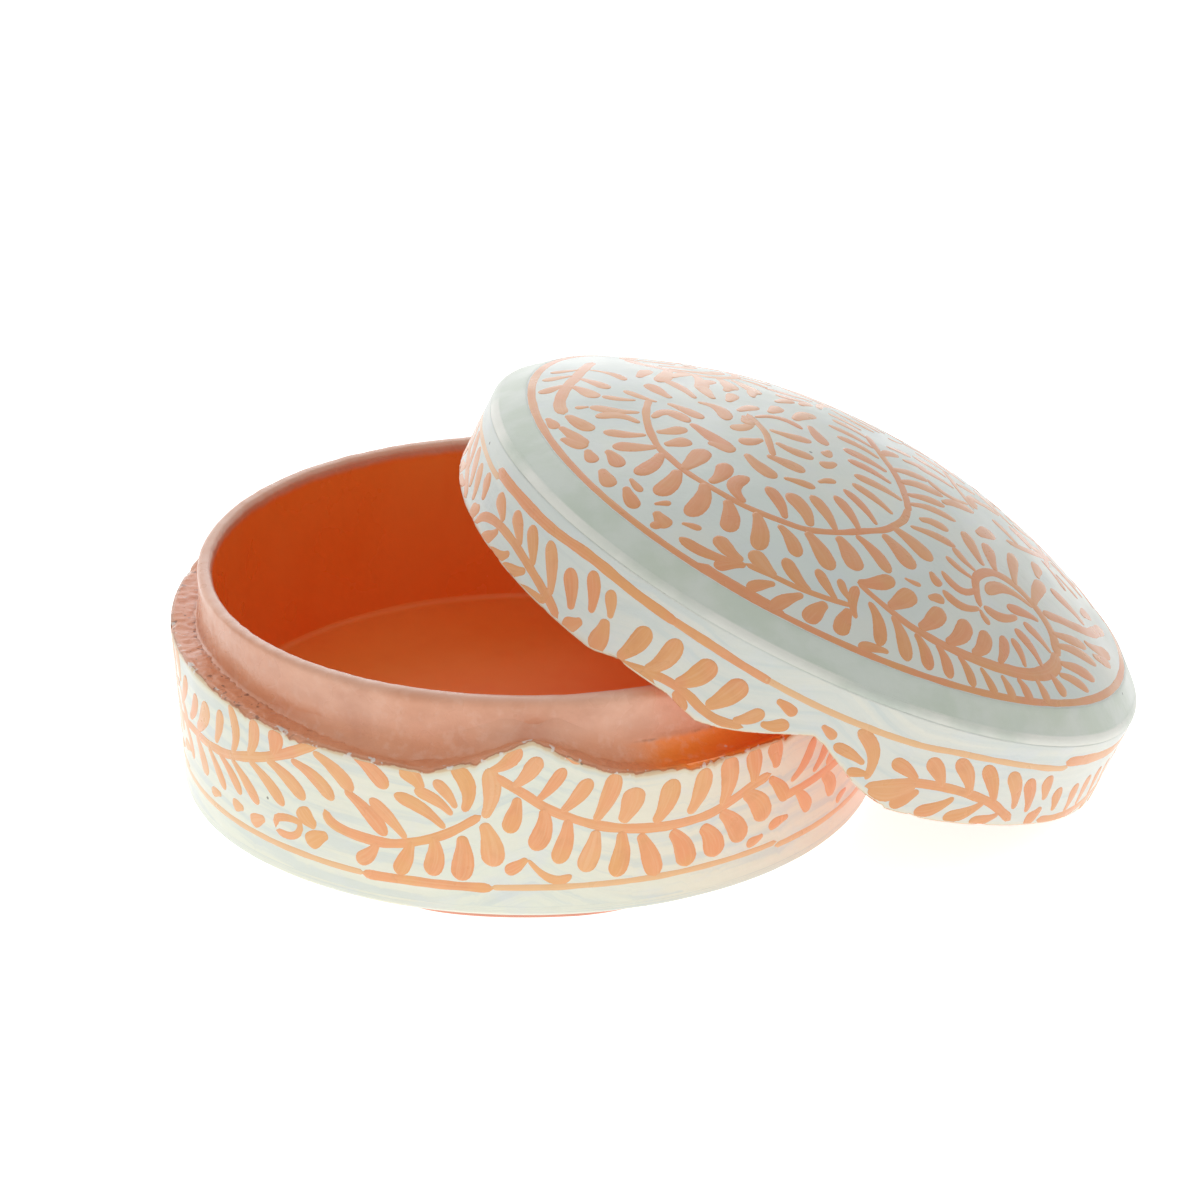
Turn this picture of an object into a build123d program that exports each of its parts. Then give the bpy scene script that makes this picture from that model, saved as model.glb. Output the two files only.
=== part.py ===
from build123d import *
import os
from math import cos, hypot, radians, sin, sqrt

# A round lidded trinket box of lacquered paper pulp, its lid leaning on its open base.
# Lengths are in millimetres and angles in degrees. Z is up, the table is z = 0 and the base's axis
# is the Z axis. The lid leans towards +X. Every piece of the lid is drawn as it sits when the box
# is shut, and is then moved to where it leans.

# Collar: the sleeve that stands out of the base and guides the lid
COLLAR_INNER_R = 44.9
COLLAR_THICK = 2.3
COLLAR_RIM_Z = 32.0
RIM_ROUND = 1.0

# Base: wall, floor board and the sheet under them
WALL_THICK = 3.8
FOOT_DRAFT = 1.4
FOOT_ROUND = 2.0
FLOOR_THICK = 5.8
SHEET_THICK = 0.5
SHEET_SETBACK = 1.5

# Cut that parted the lid from the base: a plane that slants, with one pointed tooth on it
CUT_HEIGHT = 24.2
CUT_SLANT = 2.7
CUT_RISES_TO = 115.0
CUT_GAP = 0.3
TOOTH_AT = -95.7
TOOTH_HEIGHT = 6.0
TOOTH_HALF_WIDTH = 13.8

# Lid: skirt with a sloping shoulder above a soft ridge, and a dome let into the shoulder
LID_FIT = 0.4
LID_SIDE_HEIGHT = 11.6
RIDGE_ROUND = 1.6
SHOULDER_WIDTH = 3.6
SHOULDER_RISE = 3.7
BORDER_WIDTH = 0.6
DOME_RISE = 12.4
DOME_THICK = 3.0

# Leaning lid: how far its low edge reaches from the base's axis, and how far it sits to the front
LID_REACH = 81.4
LID_SIDE_SHIFT = -4.1
REST_GAP = 0.25

# Sizes that follow from those above
collar_outer_r = COLLAR_INNER_R + COLLAR_THICK
side_r = collar_outer_r + WALL_THICK
foot_r = side_r - FOOT_DRAFT
floor_top = SHEET_THICK + FLOOR_THICK
lid_inner_r = collar_outer_r + LID_FIT
ridge_z = CUT_HEIGHT + LID_SIDE_HEIGHT
shoulder_top_z = ridge_z + SHOULDER_RISE
dome_r = side_r - SHOULDER_WIDTH - BORDER_WIDTH
dome_top_z = shoulder_top_z + DOME_RISE
dome_curve_r = (dome_r**2 + DOME_RISE**2) / (2 * DOME_RISE)
dome_centre_z = dome_top_z - dome_curve_r

LEAN_STEPS = 40
EDGE_SAMPLES = 360
EDGE_RINGS = 4


def turned(*edges):
    """Solid that a closed outline of radius and height makes when turned about the Z axis."""
    return revolve(Plane.XZ * make_face(Curve() + list(edges)), Axis.Z)


def ring_with_rim(inner, outer, bottom, top, round_r):
    """Upright sleeve whose top edges are both rounded."""
    sleeve = Pos(0, 0, bottom) * Cylinder(outer, top - bottom, align=(Align.CENTER, Align.CENTER, Align.MIN))
    sleeve -= Pos(0, 0, bottom) * Cylinder(inner, top - bottom, align=(Align.CENTER, Align.CENTER, Align.MIN))
    return fillet(sleeve.edges().group_by(Axis.Z)[-1], round_r)


def disc(radius, bottom, thick):
    """Flat round board."""
    return Pos(0, 0, bottom) * Cylinder(radius, thick, align=(Align.CENTER, Align.CENTER, Align.MIN))


def cut_rise(x, y):
    """Rise of the slanting cut above its height on the axis."""
    along = x * cos(radians(CUT_RISES_TO)) + y * sin(radians(CUT_RISES_TO))
    return along * sin(radians(CUT_SLANT)) / cos(radians(CUT_SLANT))


def tooth(lift):
    """Radial prism of the cut's tooth, grown by lift."""
    out = Vector(cos(radians(TOOTH_AT)), sin(radians(TOOTH_AT)), 0)
    along = Vector(-out.Y, out.X, 0)
    half = TOOTH_HALF_WIDTH + lift
    foot = CUT_HEIGHT + cut_rise(side_r * out.X, side_r * out.Y) + lift
    buried = foot - TOOTH_HEIGHT
    peak = foot + TOOTH_HEIGHT
    flanks = []
    for side in (-1, 1):
        low_bend = (side * 0.6 * half, foot + 0.12 * TOOTH_HEIGHT)
        high_bend = (side * 0.32 * half, foot + 0.66 * TOOTH_HEIGHT)
        flanks.append(Bezier((side * half, foot), low_bend, high_bend, (0, peak)))
    base_line = Polyline((-half, foot), (-half, buried), (half, buried), (half, foot))
    face = make_face(Curve() + flanks + base_line)
    return extrude(Plane((0, 0, 0), x_dir=along, z_dir=out) * face, 2 * side_r)


def below_cut(lift):
    """All that lies under the cut raised by lift: a slanted block and the tooth."""
    depth = 2 * dome_top_z
    block = Box(4 * side_r, 4 * side_r, depth, align=(Align.CENTER, Align.CENTER, Align.MAX))
    slanted = Pos(0, 0, CUT_HEIGHT + lift) * Rot(0, 0, CUT_RISES_TO) * Rot(0, -CUT_SLANT, 0) * block
    return slanted + tooth(lift)


def base_wall():
    """Outside of the base: a wall that narrows to a rounded foot, cut off along the toothed line."""
    top = ridge_z
    inner = collar_outer_r
    foot_z = SHEET_THICK + FOOT_ROUND
    uncut = turned(
        Polyline((side_r, CUT_HEIGHT), (side_r, top), (inner, top), (inner, SHEET_THICK)),
        Line((inner, SHEET_THICK), (foot_r - FOOT_ROUND, SHEET_THICK)),
        RadiusArc((foot_r - FOOT_ROUND, SHEET_THICK), (foot_r, foot_z), -FOOT_ROUND),
        Line((foot_r, foot_z), (side_r, CUT_HEIGHT)),
    )
    return uncut & below_cut(0)


def dome_height(radius, depth):
    """Height of the dome's curve at a radius, depth under its outer face."""
    return dome_centre_z + sqrt((dome_curve_r - depth) ** 2 - radius**2)


def lid_skirt():
    """Upright side of the lid with its sloping shoulder, cut off along the toothed line."""
    bottom = CUT_HEIGHT - 2 * TOOTH_HEIGHT
    seat_z = dome_height(dome_r, DOME_THICK)
    shoulder_in = side_r - SHOULDER_WIDTH
    uncut = turned(
        Polyline((lid_inner_r, seat_z), (lid_inner_r, bottom), (side_r, bottom), (side_r, ridge_z)),
        Polyline((side_r, ridge_z), (shoulder_in, shoulder_top_z), (dome_r, shoulder_top_z)),
        Polyline((dome_r, shoulder_top_z), (dome_r, seat_z), (lid_inner_r, seat_z)),
    )
    ridge = [edge for edge in uncut.edges() if abs(edge.center().Z - ridge_z) < 0.01]
    return fillet(ridge, RIDGE_ROUND) - below_cut(CUT_GAP)


def lid_dome():
    """Domed cap of even thickness that closes the lid."""
    seat_z = dome_height(dome_r, DOME_THICK)
    inner_top = dome_top_z - DOME_THICK
    half = dome_r / 2
    return turned(
        Line((0, inner_top), (0, dome_top_z)),
        ThreePointArc((0, dome_top_z), (half, dome_height(half, 0)), (dome_r, shoulder_top_z)),
        Line((dome_r, shoulder_top_z), (dome_r, seat_z)),
        ThreePointArc((dome_r, seat_z), (half, dome_height(half, DOME_THICK)), (0, inner_top)),
    )


def lid_edge_points():
    """Points over the lid's lower edge in the shut box."""
    points = []
    for ring in range(EDGE_RINGS):
        radius = lid_inner_r + (side_r - lid_inner_r) * ring / (EDGE_RINGS - 1)
        for step in range(EDGE_SAMPLES):
            angle = radians(360 * step / EDGE_SAMPLES)
            x = radius * cos(angle)
            y = radius * sin(angle)
            points.append((x, y, CUT_HEIGHT + cut_rise(x, y) + CUT_GAP))
    return points


def rim_height(radius):
    """Height of the collar's rounded rim at a radius from the axis, or 0 beside it."""
    inset = min(radius - COLLAR_INNER_R, collar_outer_r - radius)
    if inset < 0:
        return 0
    drop = max(0, RIM_ROUND - inset)
    return COLLAR_RIM_Z - RIM_ROUND + sqrt(RIM_ROUND**2 - drop**2)


def leaning(points, lean):
    """The edge points leaning by an angle, with the edge's low side just clear of the table."""
    c = cos(radians(lean))
    s = sin(radians(lean))
    turned_points = [(x * c + z * s, y, z * c - x * s) for x, y, z in points]
    shift_x = LID_REACH - max(x for x, y, z in turned_points)
    shift_z = REST_GAP - min(z for x, y, z in turned_points)
    moved = [(x + shift_x, y + LID_SIDE_SHIFT, z + shift_z) for x, y, z in turned_points]
    return moved, shift_x, shift_z


def rim_clearance(points):
    """Least height of the edge points above the collar's rim."""
    return min(z - rim_height(hypot(x, y)) for x, y, z in points if hypot(x, y) < collar_outer_r)


def lid_place():
    """Place of the leaning lid: its edge just clear of the table and of the collar's rim."""
    points = lid_edge_points()
    low = 1.0
    high = 60.0
    for step in range(LEAN_STEPS):
        lean = (low + high) / 2
        moved, shift_x, shift_z = leaning(points, lean)
        if rim_clearance(moved) < REST_GAP:
            low = lean
        else:
            high = lean
    print(f"lid leans {high:.2f} degrees, moved {shift_x:.2f} along X and {shift_z:.2f} up")
    return Pos(shift_x, LID_SIDE_SHIFT, shift_z) * Rot(0, high, 0)


def main():
    """Write each piece to its own file."""
    lid_at = lid_place()
    pieces = {
        "underside_sheet": disc(foot_r - SHEET_SETBACK, 0, SHEET_THICK),
        "floor_board": disc(collar_outer_r, SHEET_THICK, FLOOR_THICK),
        "base_wall": base_wall(),
        "collar": ring_with_rim(COLLAR_INNER_R, collar_outer_r, floor_top, COLLAR_RIM_Z, RIM_ROUND),
        "lid_skirt": lid_at * lid_skirt(),
        "lid_dome": lid_at * lid_dome(),
    }
    os.makedirs("parts", exist_ok=True)
    for name, piece in pieces.items():
        export_step(piece, f"parts/{name}.step")


main()
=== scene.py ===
import random
from collections import namedtuple
from math import atan2, cos, hypot, pi, radians, sin, sqrt, tan

import bmesh
import bpy
from mathutils import Matrix, Vector, noise


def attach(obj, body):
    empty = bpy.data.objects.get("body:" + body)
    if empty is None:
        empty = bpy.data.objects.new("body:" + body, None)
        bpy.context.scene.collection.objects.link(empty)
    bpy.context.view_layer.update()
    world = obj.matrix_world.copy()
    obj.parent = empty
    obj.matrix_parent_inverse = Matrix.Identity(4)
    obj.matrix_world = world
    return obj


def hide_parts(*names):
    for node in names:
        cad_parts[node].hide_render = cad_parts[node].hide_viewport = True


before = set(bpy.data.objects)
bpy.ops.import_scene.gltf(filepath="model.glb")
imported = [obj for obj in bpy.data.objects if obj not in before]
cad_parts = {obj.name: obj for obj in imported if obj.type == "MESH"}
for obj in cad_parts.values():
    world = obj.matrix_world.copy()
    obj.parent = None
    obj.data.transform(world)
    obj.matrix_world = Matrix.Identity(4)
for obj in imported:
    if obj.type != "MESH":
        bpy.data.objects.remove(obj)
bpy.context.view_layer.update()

# A round trinket box of lacquered paper pulp, painted by hand, its lid leaning on its open base.
# Lengths are in millimetres until a mesh is made. Angles are written in degrees.
# Each piece of the lid is drawn as it sits when the box is shut, and is then moved to where it leans.
# The front is the angle that faces the viewer.
MM = 0.001
FRONT = -97.17

# Unevenness of hand work: how deep it is, how wide one bump is, and the seed of its pattern
Wave = namedtuple("Wave", "depth width seed")

# A stretch round the box, in degrees: its middle, and how far from there it is full and it ends
Stretch = namedtuple("Stretch", "middle full ends")

# Collar
COLLAR_INNER_R = 44.9
COLLAR_THICK = 2.3
COLLAR_RIM_Z = 32.0
COLLAR_TAPER = 0.15
COLLAR_COVE = 3.2
ROUGH_COVE = 0.6
COVE_BELOW_RIM = 1.0
COVE_ROOT = 1.0
COLLAR_DENTS = (Wave(0.12, 9.0, 8.0), Wave(0.05, 2.6, 8.0))
INSIDE_DENTS = Wave(0.1, 13.0, 12.0)
DENTS_FADE = 3.0

# Rim of the collar, which is sharper outside and rounder inside at the back
RIM_DROP = 0.12
RIM_LIFT = 0.4
RIM_LIFTS_AT = radians(150.0)
RIM_WAVES = (Wave(1.0, 14.0, 6.0), Wave(1.0, 2.4, 6.0))
RIM_WAVER = Wave(0.08, 1.8, 26.0)
RIM_UNEVEN = 0.5
RIM_OUTER_ROUND = 1.5
RIM_INNER_ROUND = 0.3
BACK_UNEVEN = 0.9
BACK_OUTER_ROUND = 0.6
BACK_INNER_ROUND = 0.9
RIM_BACK = Stretch(135.0, 60.0, 120.0)

# Base wall, floor board and the sheet under them, whose edge shows at the front
WALL_THICK = 3.8
FOOT_DRAFT = 1.4
FOOT_ROUND = 0.5
FOOT_ROUND_FROM = radians(15.0)
FLOOR_THICK = 5.8
FLOOR_COVE = 1.2
COVE_SINK = 0.25
FLOOR_SWELL = Wave(0.12, 15.0, 14.0)
SHEET_THICK = 0.5
SHEET_SETBACK = 1.5
SHEET_BEVEL = 0.1
SHEET_WIDEST_Z = 0.2
SHEET_WAVER = Wave(0.06, 4.0, 16.0)
SHEET_SHOWN = 0.95
SHEET_FRONT = Stretch(FRONT - 1.0, 8.0, 21.0)

# Cut that parted the lid from the base. The tooth's flank is a curve that starts at its foot and ends at its
# tip: its corners are shares of the tooth's half width and height.
CUT_HEIGHT = 24.2
CUT_SLANT = radians(2.7)
CUT_RISES_TO = radians(115.0)
CUT_GAP = 0.3
TOOTH_AT = radians(-95.7)
TOOTH_HEIGHT = 6.0
TOOTH_HALF_WIDTH = 13.8
TOOTH_LEFT_SPREAD = 1.3
TOOTH_SOFTENS = radians(10.0)
TOOTH_FLANK = ((1.0, 0.0), (0.6, 0.12), (0.32, 0.66), (0.0, 1.0))
EDGE_ROUND = 0.45
EDGE_BEVEL = 0.135

# Flakes, wear and a tear along the cut, and the ledge inside it
CHIP_DEPTH = 0.75
CHIP_REACH = 0.6
CHIP_PATCHES = Wave(1.0, 5.5, 3.0)
CHIPS_FROM = 0.12
CHIPS_FADE = 0.35
CHIP_GRAIN = Wave(0.5, 0.9, 5.0)
EDGE_WEAR = 0.18
TEAR_DEPTH = 0.9
TORN_SIDE = Stretch(168.0, 11.48, 25.84)
LEDGE_DIP = 1.2
LEDGE_SINK = 0.2
LEDGE_GRAIN = (Wave(1.0, 1.5, 9.0), Wave(0.8, 0.9, 4.0))
LEDGE_EVEN = 0.08
LEDGE_ROUGH = 0.14
ROUGH_SIDE = Stretch(-180.0, 31.79, 63.26)

# Lid
LID_FIT = 0.4
LID_SIDE_HEIGHT = 11.6
RIDGE_ROUND = 1.6
SHOULDER_WIDTH = 3.6
SHOULDER_RISE = 3.7
BORDER_WIDTH = 0.6
BORDER_FALL = 0.25
DOME_RISE = 12.4
DOME_THICK = 3.0
DOME_SWELL_PAST_EDGE = 1.0
DOME_SWELL_FADE = 6.0
LID_LEAN = radians(25.62)
LID_MOVE = Vector((25.25, -4.1, 1.21))
LID_CHIP_SHARE = 0.5
LID_CHIP_TURN = radians(22.92)
LID_CUT_GRAIN = Wave(0.2, 1.2, 19.0)

# Lip: the lid's outer edge hangs below the cut where neither the collar's rim nor the table is near
LIP_DROP = 1.2
LIP_CLEAR_OF_RIM = 4.0
LIP_ENDS_Z = 6.0
LIP_FULL_Z = 16.0

# Swells of the hand-shaped outsides, as depths and widths, with a seed for each outside
HAND_SWELLS = ((0.14, 17.0), (0.05, 5.0))
WALL_SEED = 11.0
SIDE_SEED = 23.0
SHOULDER_SEED = 29.0
DOME_SEED = 37.0

# Sizes that follow from those above
collar_outer_r = COLLAR_INNER_R + COLLAR_THICK
side_r = collar_outer_r + WALL_THICK
foot_r = side_r - FOOT_DRAFT
foot_z = SHEET_THICK + FOOT_ROUND
floor_top = SHEET_THICK + FLOOR_THICK
cove_r = COLLAR_INNER_R + COVE_SINK
sheet_r = foot_r - SHEET_SETBACK
lid_inner_r = collar_outer_r + LID_FIT
ridge_z = CUT_HEIGHT + LID_SIDE_HEIGHT
shoulder_top_z = ridge_z + SHOULDER_RISE
shoulder_in_r = side_r - SHOULDER_WIDTH
shoulder_turn = atan2(SHOULDER_WIDTH, SHOULDER_RISE)
ridge_start_z = ridge_z - RIDGE_ROUND * tan(shoulder_turn / 2)
dome_r = shoulder_in_r - BORDER_WIDTH
dome_curve_r = (dome_r**2 + DOME_RISE**2) / (2 * DOME_RISE)
dome_centre_z = shoulder_top_z + DOME_RISE - dome_curve_r
tooth_foot = CUT_HEIGHT + side_r * cos(TOOTH_AT - CUT_RISES_TO) * tan(CUT_SLANT)
lid_matrix = Matrix.Translation(LID_MOVE) @ Matrix.Rotation(LID_LEAN, 4, "Y")

# Zones tell the finishes where a point lies: millimetres from the cut near it, and these marks elsewhere
OUTSIDE = 10.0
SHOULDER = 40.0
RIDGE = 50.0
LID_EDGE = 0.5
CUT_EDGE = 0.1
INSIDE = -10.0

# How finely the pieces are meshed: segments round the box, rows along a section, and how rows are joined
SEGMENTS = 720
WALL_SEGMENTS = 1080
DOME_SEGMENTS = 360
DOME_RINGS = 56
FOOT_ROWS = 6
WALL_ROWS = 24
LEDGE_ROWS = 12
ROUND_ROWS = 7
COLLAR_ROWS = 18
INSIDE_ROWS = 12
FLOOR_COVE_ROWS = 9
FLOOR_ROWS = 30
LID_INSIDE_ROWS = 8
LID_CUT_ROWS = 6
SIDE_ROWS = 14
RIDGE_ROWS = 6
SHOULDER_ROWS = 7
SOFT_SAMPLES = 9
FLANK_HALVINGS = 24
WELD = 0.0001
SHARP_TURN = radians(50.0)

dice = random.Random(7)


def smooth(share):
    """Ease from 0 to 1."""
    share = min(1.0, max(0.0, share))
    return share * share * (3 - 2 * share)


def blend(first, last, share):
    """Value at a share of the way from first to last."""
    return first + (last - first) * share


def span(first, last, count):
    """Count values from first to last, evenly spaced."""
    return [first + (last - first) * step / (count - 1) for step in range(count)]


def around(angle, stretch):
    """Share that is 1 where a stretch is full and eases to 0 at its ends."""
    middle, full, ends = [radians(value) for value in stretch]
    return smooth((cos(angle - middle) - cos(ends)) / (cos(full) - cos(ends)))


def uneven(point, *waves):
    """Sum of smooth random waves at a point, each from minus its depth to its depth."""
    total = 0.0
    for wave in waves:
        total += wave.depth * noise.noise(point / wave.width + Vector((wave.seed, 0, 0)))
    return total


def handmade(point, seed):
    """How far a hand-shaped face stands proud of its true shape."""
    return uneven(point, *[Wave(depth, width, seed) for depth, width in HAND_SWELLS])


def round_point(radius, angle, z):
    """Point at a radius and an angle about the Z axis."""
    return Vector((radius * cos(angle), radius * sin(angle), z))


def reach(point):
    """Distance of a point from the Z axis."""
    return point.to_2d().length


def arc(centre_r, centre_z, radius, first, last, count):
    """Points of a section, as radius and z, on an arc between two angles."""
    turns = span(first, last, count)
    return [(centre_r + radius * cos(turn), centre_z + radius * sin(turn)) for turn in turns]


# Shapes shared by the solids and by the paint on them


def flank(share, axis):
    """Place across (axis 0) or up (axis 1) the tooth's flank, at a share of the way to its tip."""
    left = 1 - share
    weights = (left**3, 3 * left**2 * share, 3 * left * share**2, share**3)
    return sum(weight * corner[axis] for weight, corner in zip(weights, TOOTH_FLANK))


def tooth_share(across):
    """Height of the tooth, from 0 to 1, at a distance from its middle given as a share of its half width."""
    low = 0.0
    high = 1.0
    for halving in range(FLANK_HALVINGS):
        middle = (low + high) / 2
        if flank(middle, 0) > across:
            low = middle
        else:
            high = middle
    return flank(middle, 1)


def cut_height(radius, angle):
    """Height of the cut: a slanting plane with one pointed tooth on it, whose left flank is longer."""
    plane = CUT_HEIGHT + radius * cos(angle - CUT_RISES_TO) * tan(CUT_SLANT)
    across = radius * sin(angle - TOOTH_AT) / TOOTH_HALF_WIDTH
    across = max(across, -across / TOOTH_LEFT_SPREAD)
    if cos(angle - TOOTH_AT) < 0 or across >= 1:
        return plane
    return max(plane, tooth_foot + TOOTH_HEIGHT * tooth_share(across))


def tear(angle):
    """How far the edge is torn down at one place."""
    return TEAR_DEPTH * around(angle, TORN_SIDE)


def torn_cut(angle):
    """Height of the base's outer edge at an angle, before it flaked."""
    return cut_height(side_r, angle) - tear(angle)


def soft_cut(radius, angle):
    """Height of the base's cut within its edge, where the tooth fades into an even swell towards the collar."""
    spread = TOOTH_SOFTENS * (side_r - radius) / WALL_THICK
    heights = [cut_height(radius, angle + turned_by) for turned_by in span(-spread, spread, SOFT_SAMPLES)]
    return sum(heights) / len(heights) - tear(angle)


def chip(angle):
    """How deep the cut's outer edge has flaked away at an angle."""
    spot = round_point(side_r, angle, 0)
    flakes = smooth((uneven(spot, CHIP_PATCHES) - CHIPS_FROM) / CHIPS_FADE)
    ragged = CHIP_GRAIN.depth + uneven(spot, CHIP_GRAIN)
    return CHIP_DEPTH * (flakes + EDGE_WEAR) * ragged


def lip(angle):
    """How far the lid's outer edge hangs below the cut at an angle."""
    shut = [round_point(radius, angle, cut_height(radius, angle)) for radius in (lid_inner_r, side_r)]
    edge = [lid_matrix @ point for point in shut]
    reaches = [reach(point) for point in edge]
    from_rim = max(0.0, COLLAR_INNER_R - max(reaches), min(reaches) - collar_outer_r)
    above_table = (edge[1].z - LIP_ENDS_Z) / (LIP_FULL_Z - LIP_ENDS_Z)
    return LIP_DROP * smooth(from_rim / LIP_CLEAR_OF_RIM) * smooth(above_table)


def lid_edge(angle):
    """Height of the lid's outer edge at an angle."""
    return cut_height(side_r, angle) + CUT_GAP - lip(angle)


def wall_radius(z):
    """Radius of the base's outside at a height."""
    if z >= CUT_HEIGHT:
        return side_r
    if z >= foot_z:
        return foot_r + FOOT_DRAFT * (z - foot_z) / (CUT_HEIGHT - foot_z)
    return foot_r - FOOT_ROUND + sqrt(max(0.0, FOOT_ROUND**2 - (foot_z - z) ** 2))


def wall_surface(angle, z, rise):
    """Point on the base's outside, raised by rise."""
    radius = wall_radius(z)
    radius += handmade(round_point(radius, angle, z), WALL_SEED)
    return round_point(radius + rise, angle, z)


def side_surface(angle, z, rise):
    """Point on the lid's upright side, raised by rise."""
    radius = side_r + handmade(round_point(side_r, angle, z), SIDE_SEED)
    return round_point(radius + rise, angle, z)


def dome_surface(x, y, rise):
    """Point on the lid's top, raised by rise: the dome, and the border that falls away round it."""
    far = hypot(x, y)
    inside = min(far, dome_r)
    level = dome_centre_z + sqrt(dome_curve_r**2 - inside**2)
    level -= BORDER_FALL * max(0.0, far - dome_r) / BORDER_WIDTH
    spot = Vector((x, y, level))
    share = smooth((dome_r + DOME_SWELL_PAST_EDGE - far) / DOME_SWELL_FADE)
    swell = rise + handmade(spot, DOME_SEED) * share
    normal = Vector((x, y, level - dome_centre_z)).normalized()
    return spot + normal * swell


def dome_inside_z(radius):
    """Height of the dome's inner face at a radius."""
    return dome_centre_z + sqrt((dome_curve_r - DOME_THICK) ** 2 - radius**2)


# Meshes


def make_piece(name, points, faces, body, zones, paint=None):
    """Object made of points in millimetres, riding on a body."""
    mesh = bpy.data.meshes.new(name)
    mesh.from_pydata([point * MM for point in points], [], faces)
    mesh.attributes.new("zone", "FLOAT", "POINT").data.foreach_set("value", zones)
    if paint:
        layer = mesh.attributes.new("paint", "FLOAT_VECTOR", "POINT")
        layer.data.foreach_set("vector", [value for place in paint for value in place])
    joined = bmesh.new()
    joined.from_mesh(mesh)
    bmesh.ops.remove_doubles(joined, verts=joined.verts, dist=WELD * MM)
    bmesh.ops.recalc_face_normals(joined, faces=joined.faces)
    joined.to_mesh(mesh)
    joined.free()
    mesh.shade_smooth()
    mesh.set_sharp_from_angle(angle=SHARP_TURN)
    piece = bpy.data.objects.new(name, mesh)
    bpy.context.scene.collection.objects.link(piece)
    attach(piece, body)
    return piece


def turned(name, body, section_at, segments, closed, place=None):
    """Piece made by turning a section, a list of (radius, z, zone) that may change with the angle."""
    points = []
    zones = []
    for step in range(segments):
        angle = 2 * pi * step / segments
        section = section_at(angle)
        points += [round_point(radius, angle, z) for radius, z, zone in section]
        zones += [zone for radius, z, zone in section]
    count = len(section)
    faces = []
    for step in range(segments):
        here = step * count
        there = (step + 1) % segments * count
        for row in range(count if closed else count - 1):
            after = (row + 1) % count
            faces.append((here + row, there + row, there + after, here + after))
    if place:
        points = [place @ point for point in points]
    return make_piece(name, points, faces, body, zones)


# Base


def roughness(angle):
    """How rough the ledge is at an angle, from 0 to 1."""
    return around(angle, ROUGH_SIDE)


def ledge_height(radius, angle):
    """Height of the ledge inside the cut's edge, rougher at one side than elsewhere."""
    grain = uneven(round_point(radius, angle, 0), *LEDGE_GRAIN)
    return soft_cut(radius, angle) - blend(LEDGE_EVEN, LEDGE_ROUGH, roughness(angle)) * (1 + grain)


def wall_section(angle):
    """Section of the base's wall: foot, outside, flaked edge, ledge and the face against the collar."""
    flaked = chip(angle)
    top = torn_cut(angle) - flaked
    foot_turns = span(FOOT_ROUND_FROM, pi / 2, FOOT_ROWS)
    outside = [(foot_z - FOOT_ROUND * cos(turn), OUTSIDE) for turn in foot_turns]
    outside += [(z, top - z) for z in span(foot_z, top - EDGE_ROUND, WALL_ROWS)[1:]]
    section = [(collar_outer_r, SHEET_THICK, INSIDE), (foot_r - FOOT_ROUND, SHEET_THICK, OUTSIDE)]
    section += [(reach(wall_surface(angle, z, 0)), z, zone) for z, zone in outside]
    edge_r = section[-1][0]
    section.append((edge_r - EDGE_BEVEL, top - EDGE_BEVEL, CUT_EDGE))
    for radius in span(edge_r - EDGE_ROUND - CHIP_REACH * flaked, collar_outer_r, LEDGE_ROWS):
        z = blend(top, ledge_height(radius, angle), smooth((edge_r - radius) / LEDGE_DIP))
        section.append((radius, z, radius - edge_r))
    return section


def rim_shape(angle):
    """Height of the collar's rim at an angle, and the rounds of its outer and its inner edge."""
    behind = around(angle, RIM_BACK)
    waves = uneven(round_point(collar_outer_r, angle, 0), *RIM_WAVES)
    rim = COLLAR_RIM_Z - RIM_DROP * (1 + blend(RIM_UNEVEN, BACK_UNEVEN, behind) * waves)
    rim += RIM_LIFT * max(0.0, cos(angle - RIM_LIFTS_AT)) ** 2
    outer_round = blend(RIM_OUTER_ROUND, BACK_OUTER_ROUND, behind)
    return rim, outer_round, blend(RIM_INNER_ROUND, BACK_INNER_ROUND, behind)


def collar_outside(angle, rim, top):
    """Rows of the collar's outside: the cove at its foot and the slightly tapered face, up to its top."""
    cove = blend(COLLAR_COVE, ROUGH_COVE, roughness(angle))
    cove = min(cove, top - COVE_BELOW_RIM - soft_cut(collar_outer_r + cove, angle))
    ledge = soft_cut(collar_outer_r + cove, angle) - LEDGE_SINK
    start = ledge + cove
    rows = [(collar_outer_r, floor_top, INSIDE), (collar_outer_r + cove, ledge - COVE_ROOT, INSIDE)]
    for radius, z in arc(collar_outer_r + cove, start, cove, -pi / 2, -pi, ROUND_ROWS):
        rows.append((radius, z, z - rim))
    for z in span(start, top, COLLAR_ROWS)[1:]:
        taper = COLLAR_TAPER * ((z - start) / (top - start)) ** 2
        dents = uneven(round_point(collar_outer_r, angle, z), *COLLAR_DENTS) - COLLAR_DENTS[0].depth
        rows.append((collar_outer_r - taper + dents * smooth((top - z) / DENTS_FADE), z, z - rim))
    return rows


def collar_rim(angle, rim, outer_round, inner_round):
    """Rows over the collar's rim, from its outer round to its inner one."""
    middle_r = COLLAR_INNER_R + COLLAR_THICK / 2
    outer_r = collar_outer_r - COLLAR_TAPER
    inner_r = COLLAR_INNER_R + RIM_WAVER.depth + uneven(round_point(collar_outer_r, angle, 0), RIM_WAVER)
    points = arc(outer_r - outer_round, rim - outer_round, outer_round, 0, pi / 2, ROUND_ROWS)
    points += arc(inner_r + inner_round, rim - inner_round, inner_round, pi / 2, pi, ROUND_ROWS)
    return [(radius, z, middle_r - radius) for radius, z in points]


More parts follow.
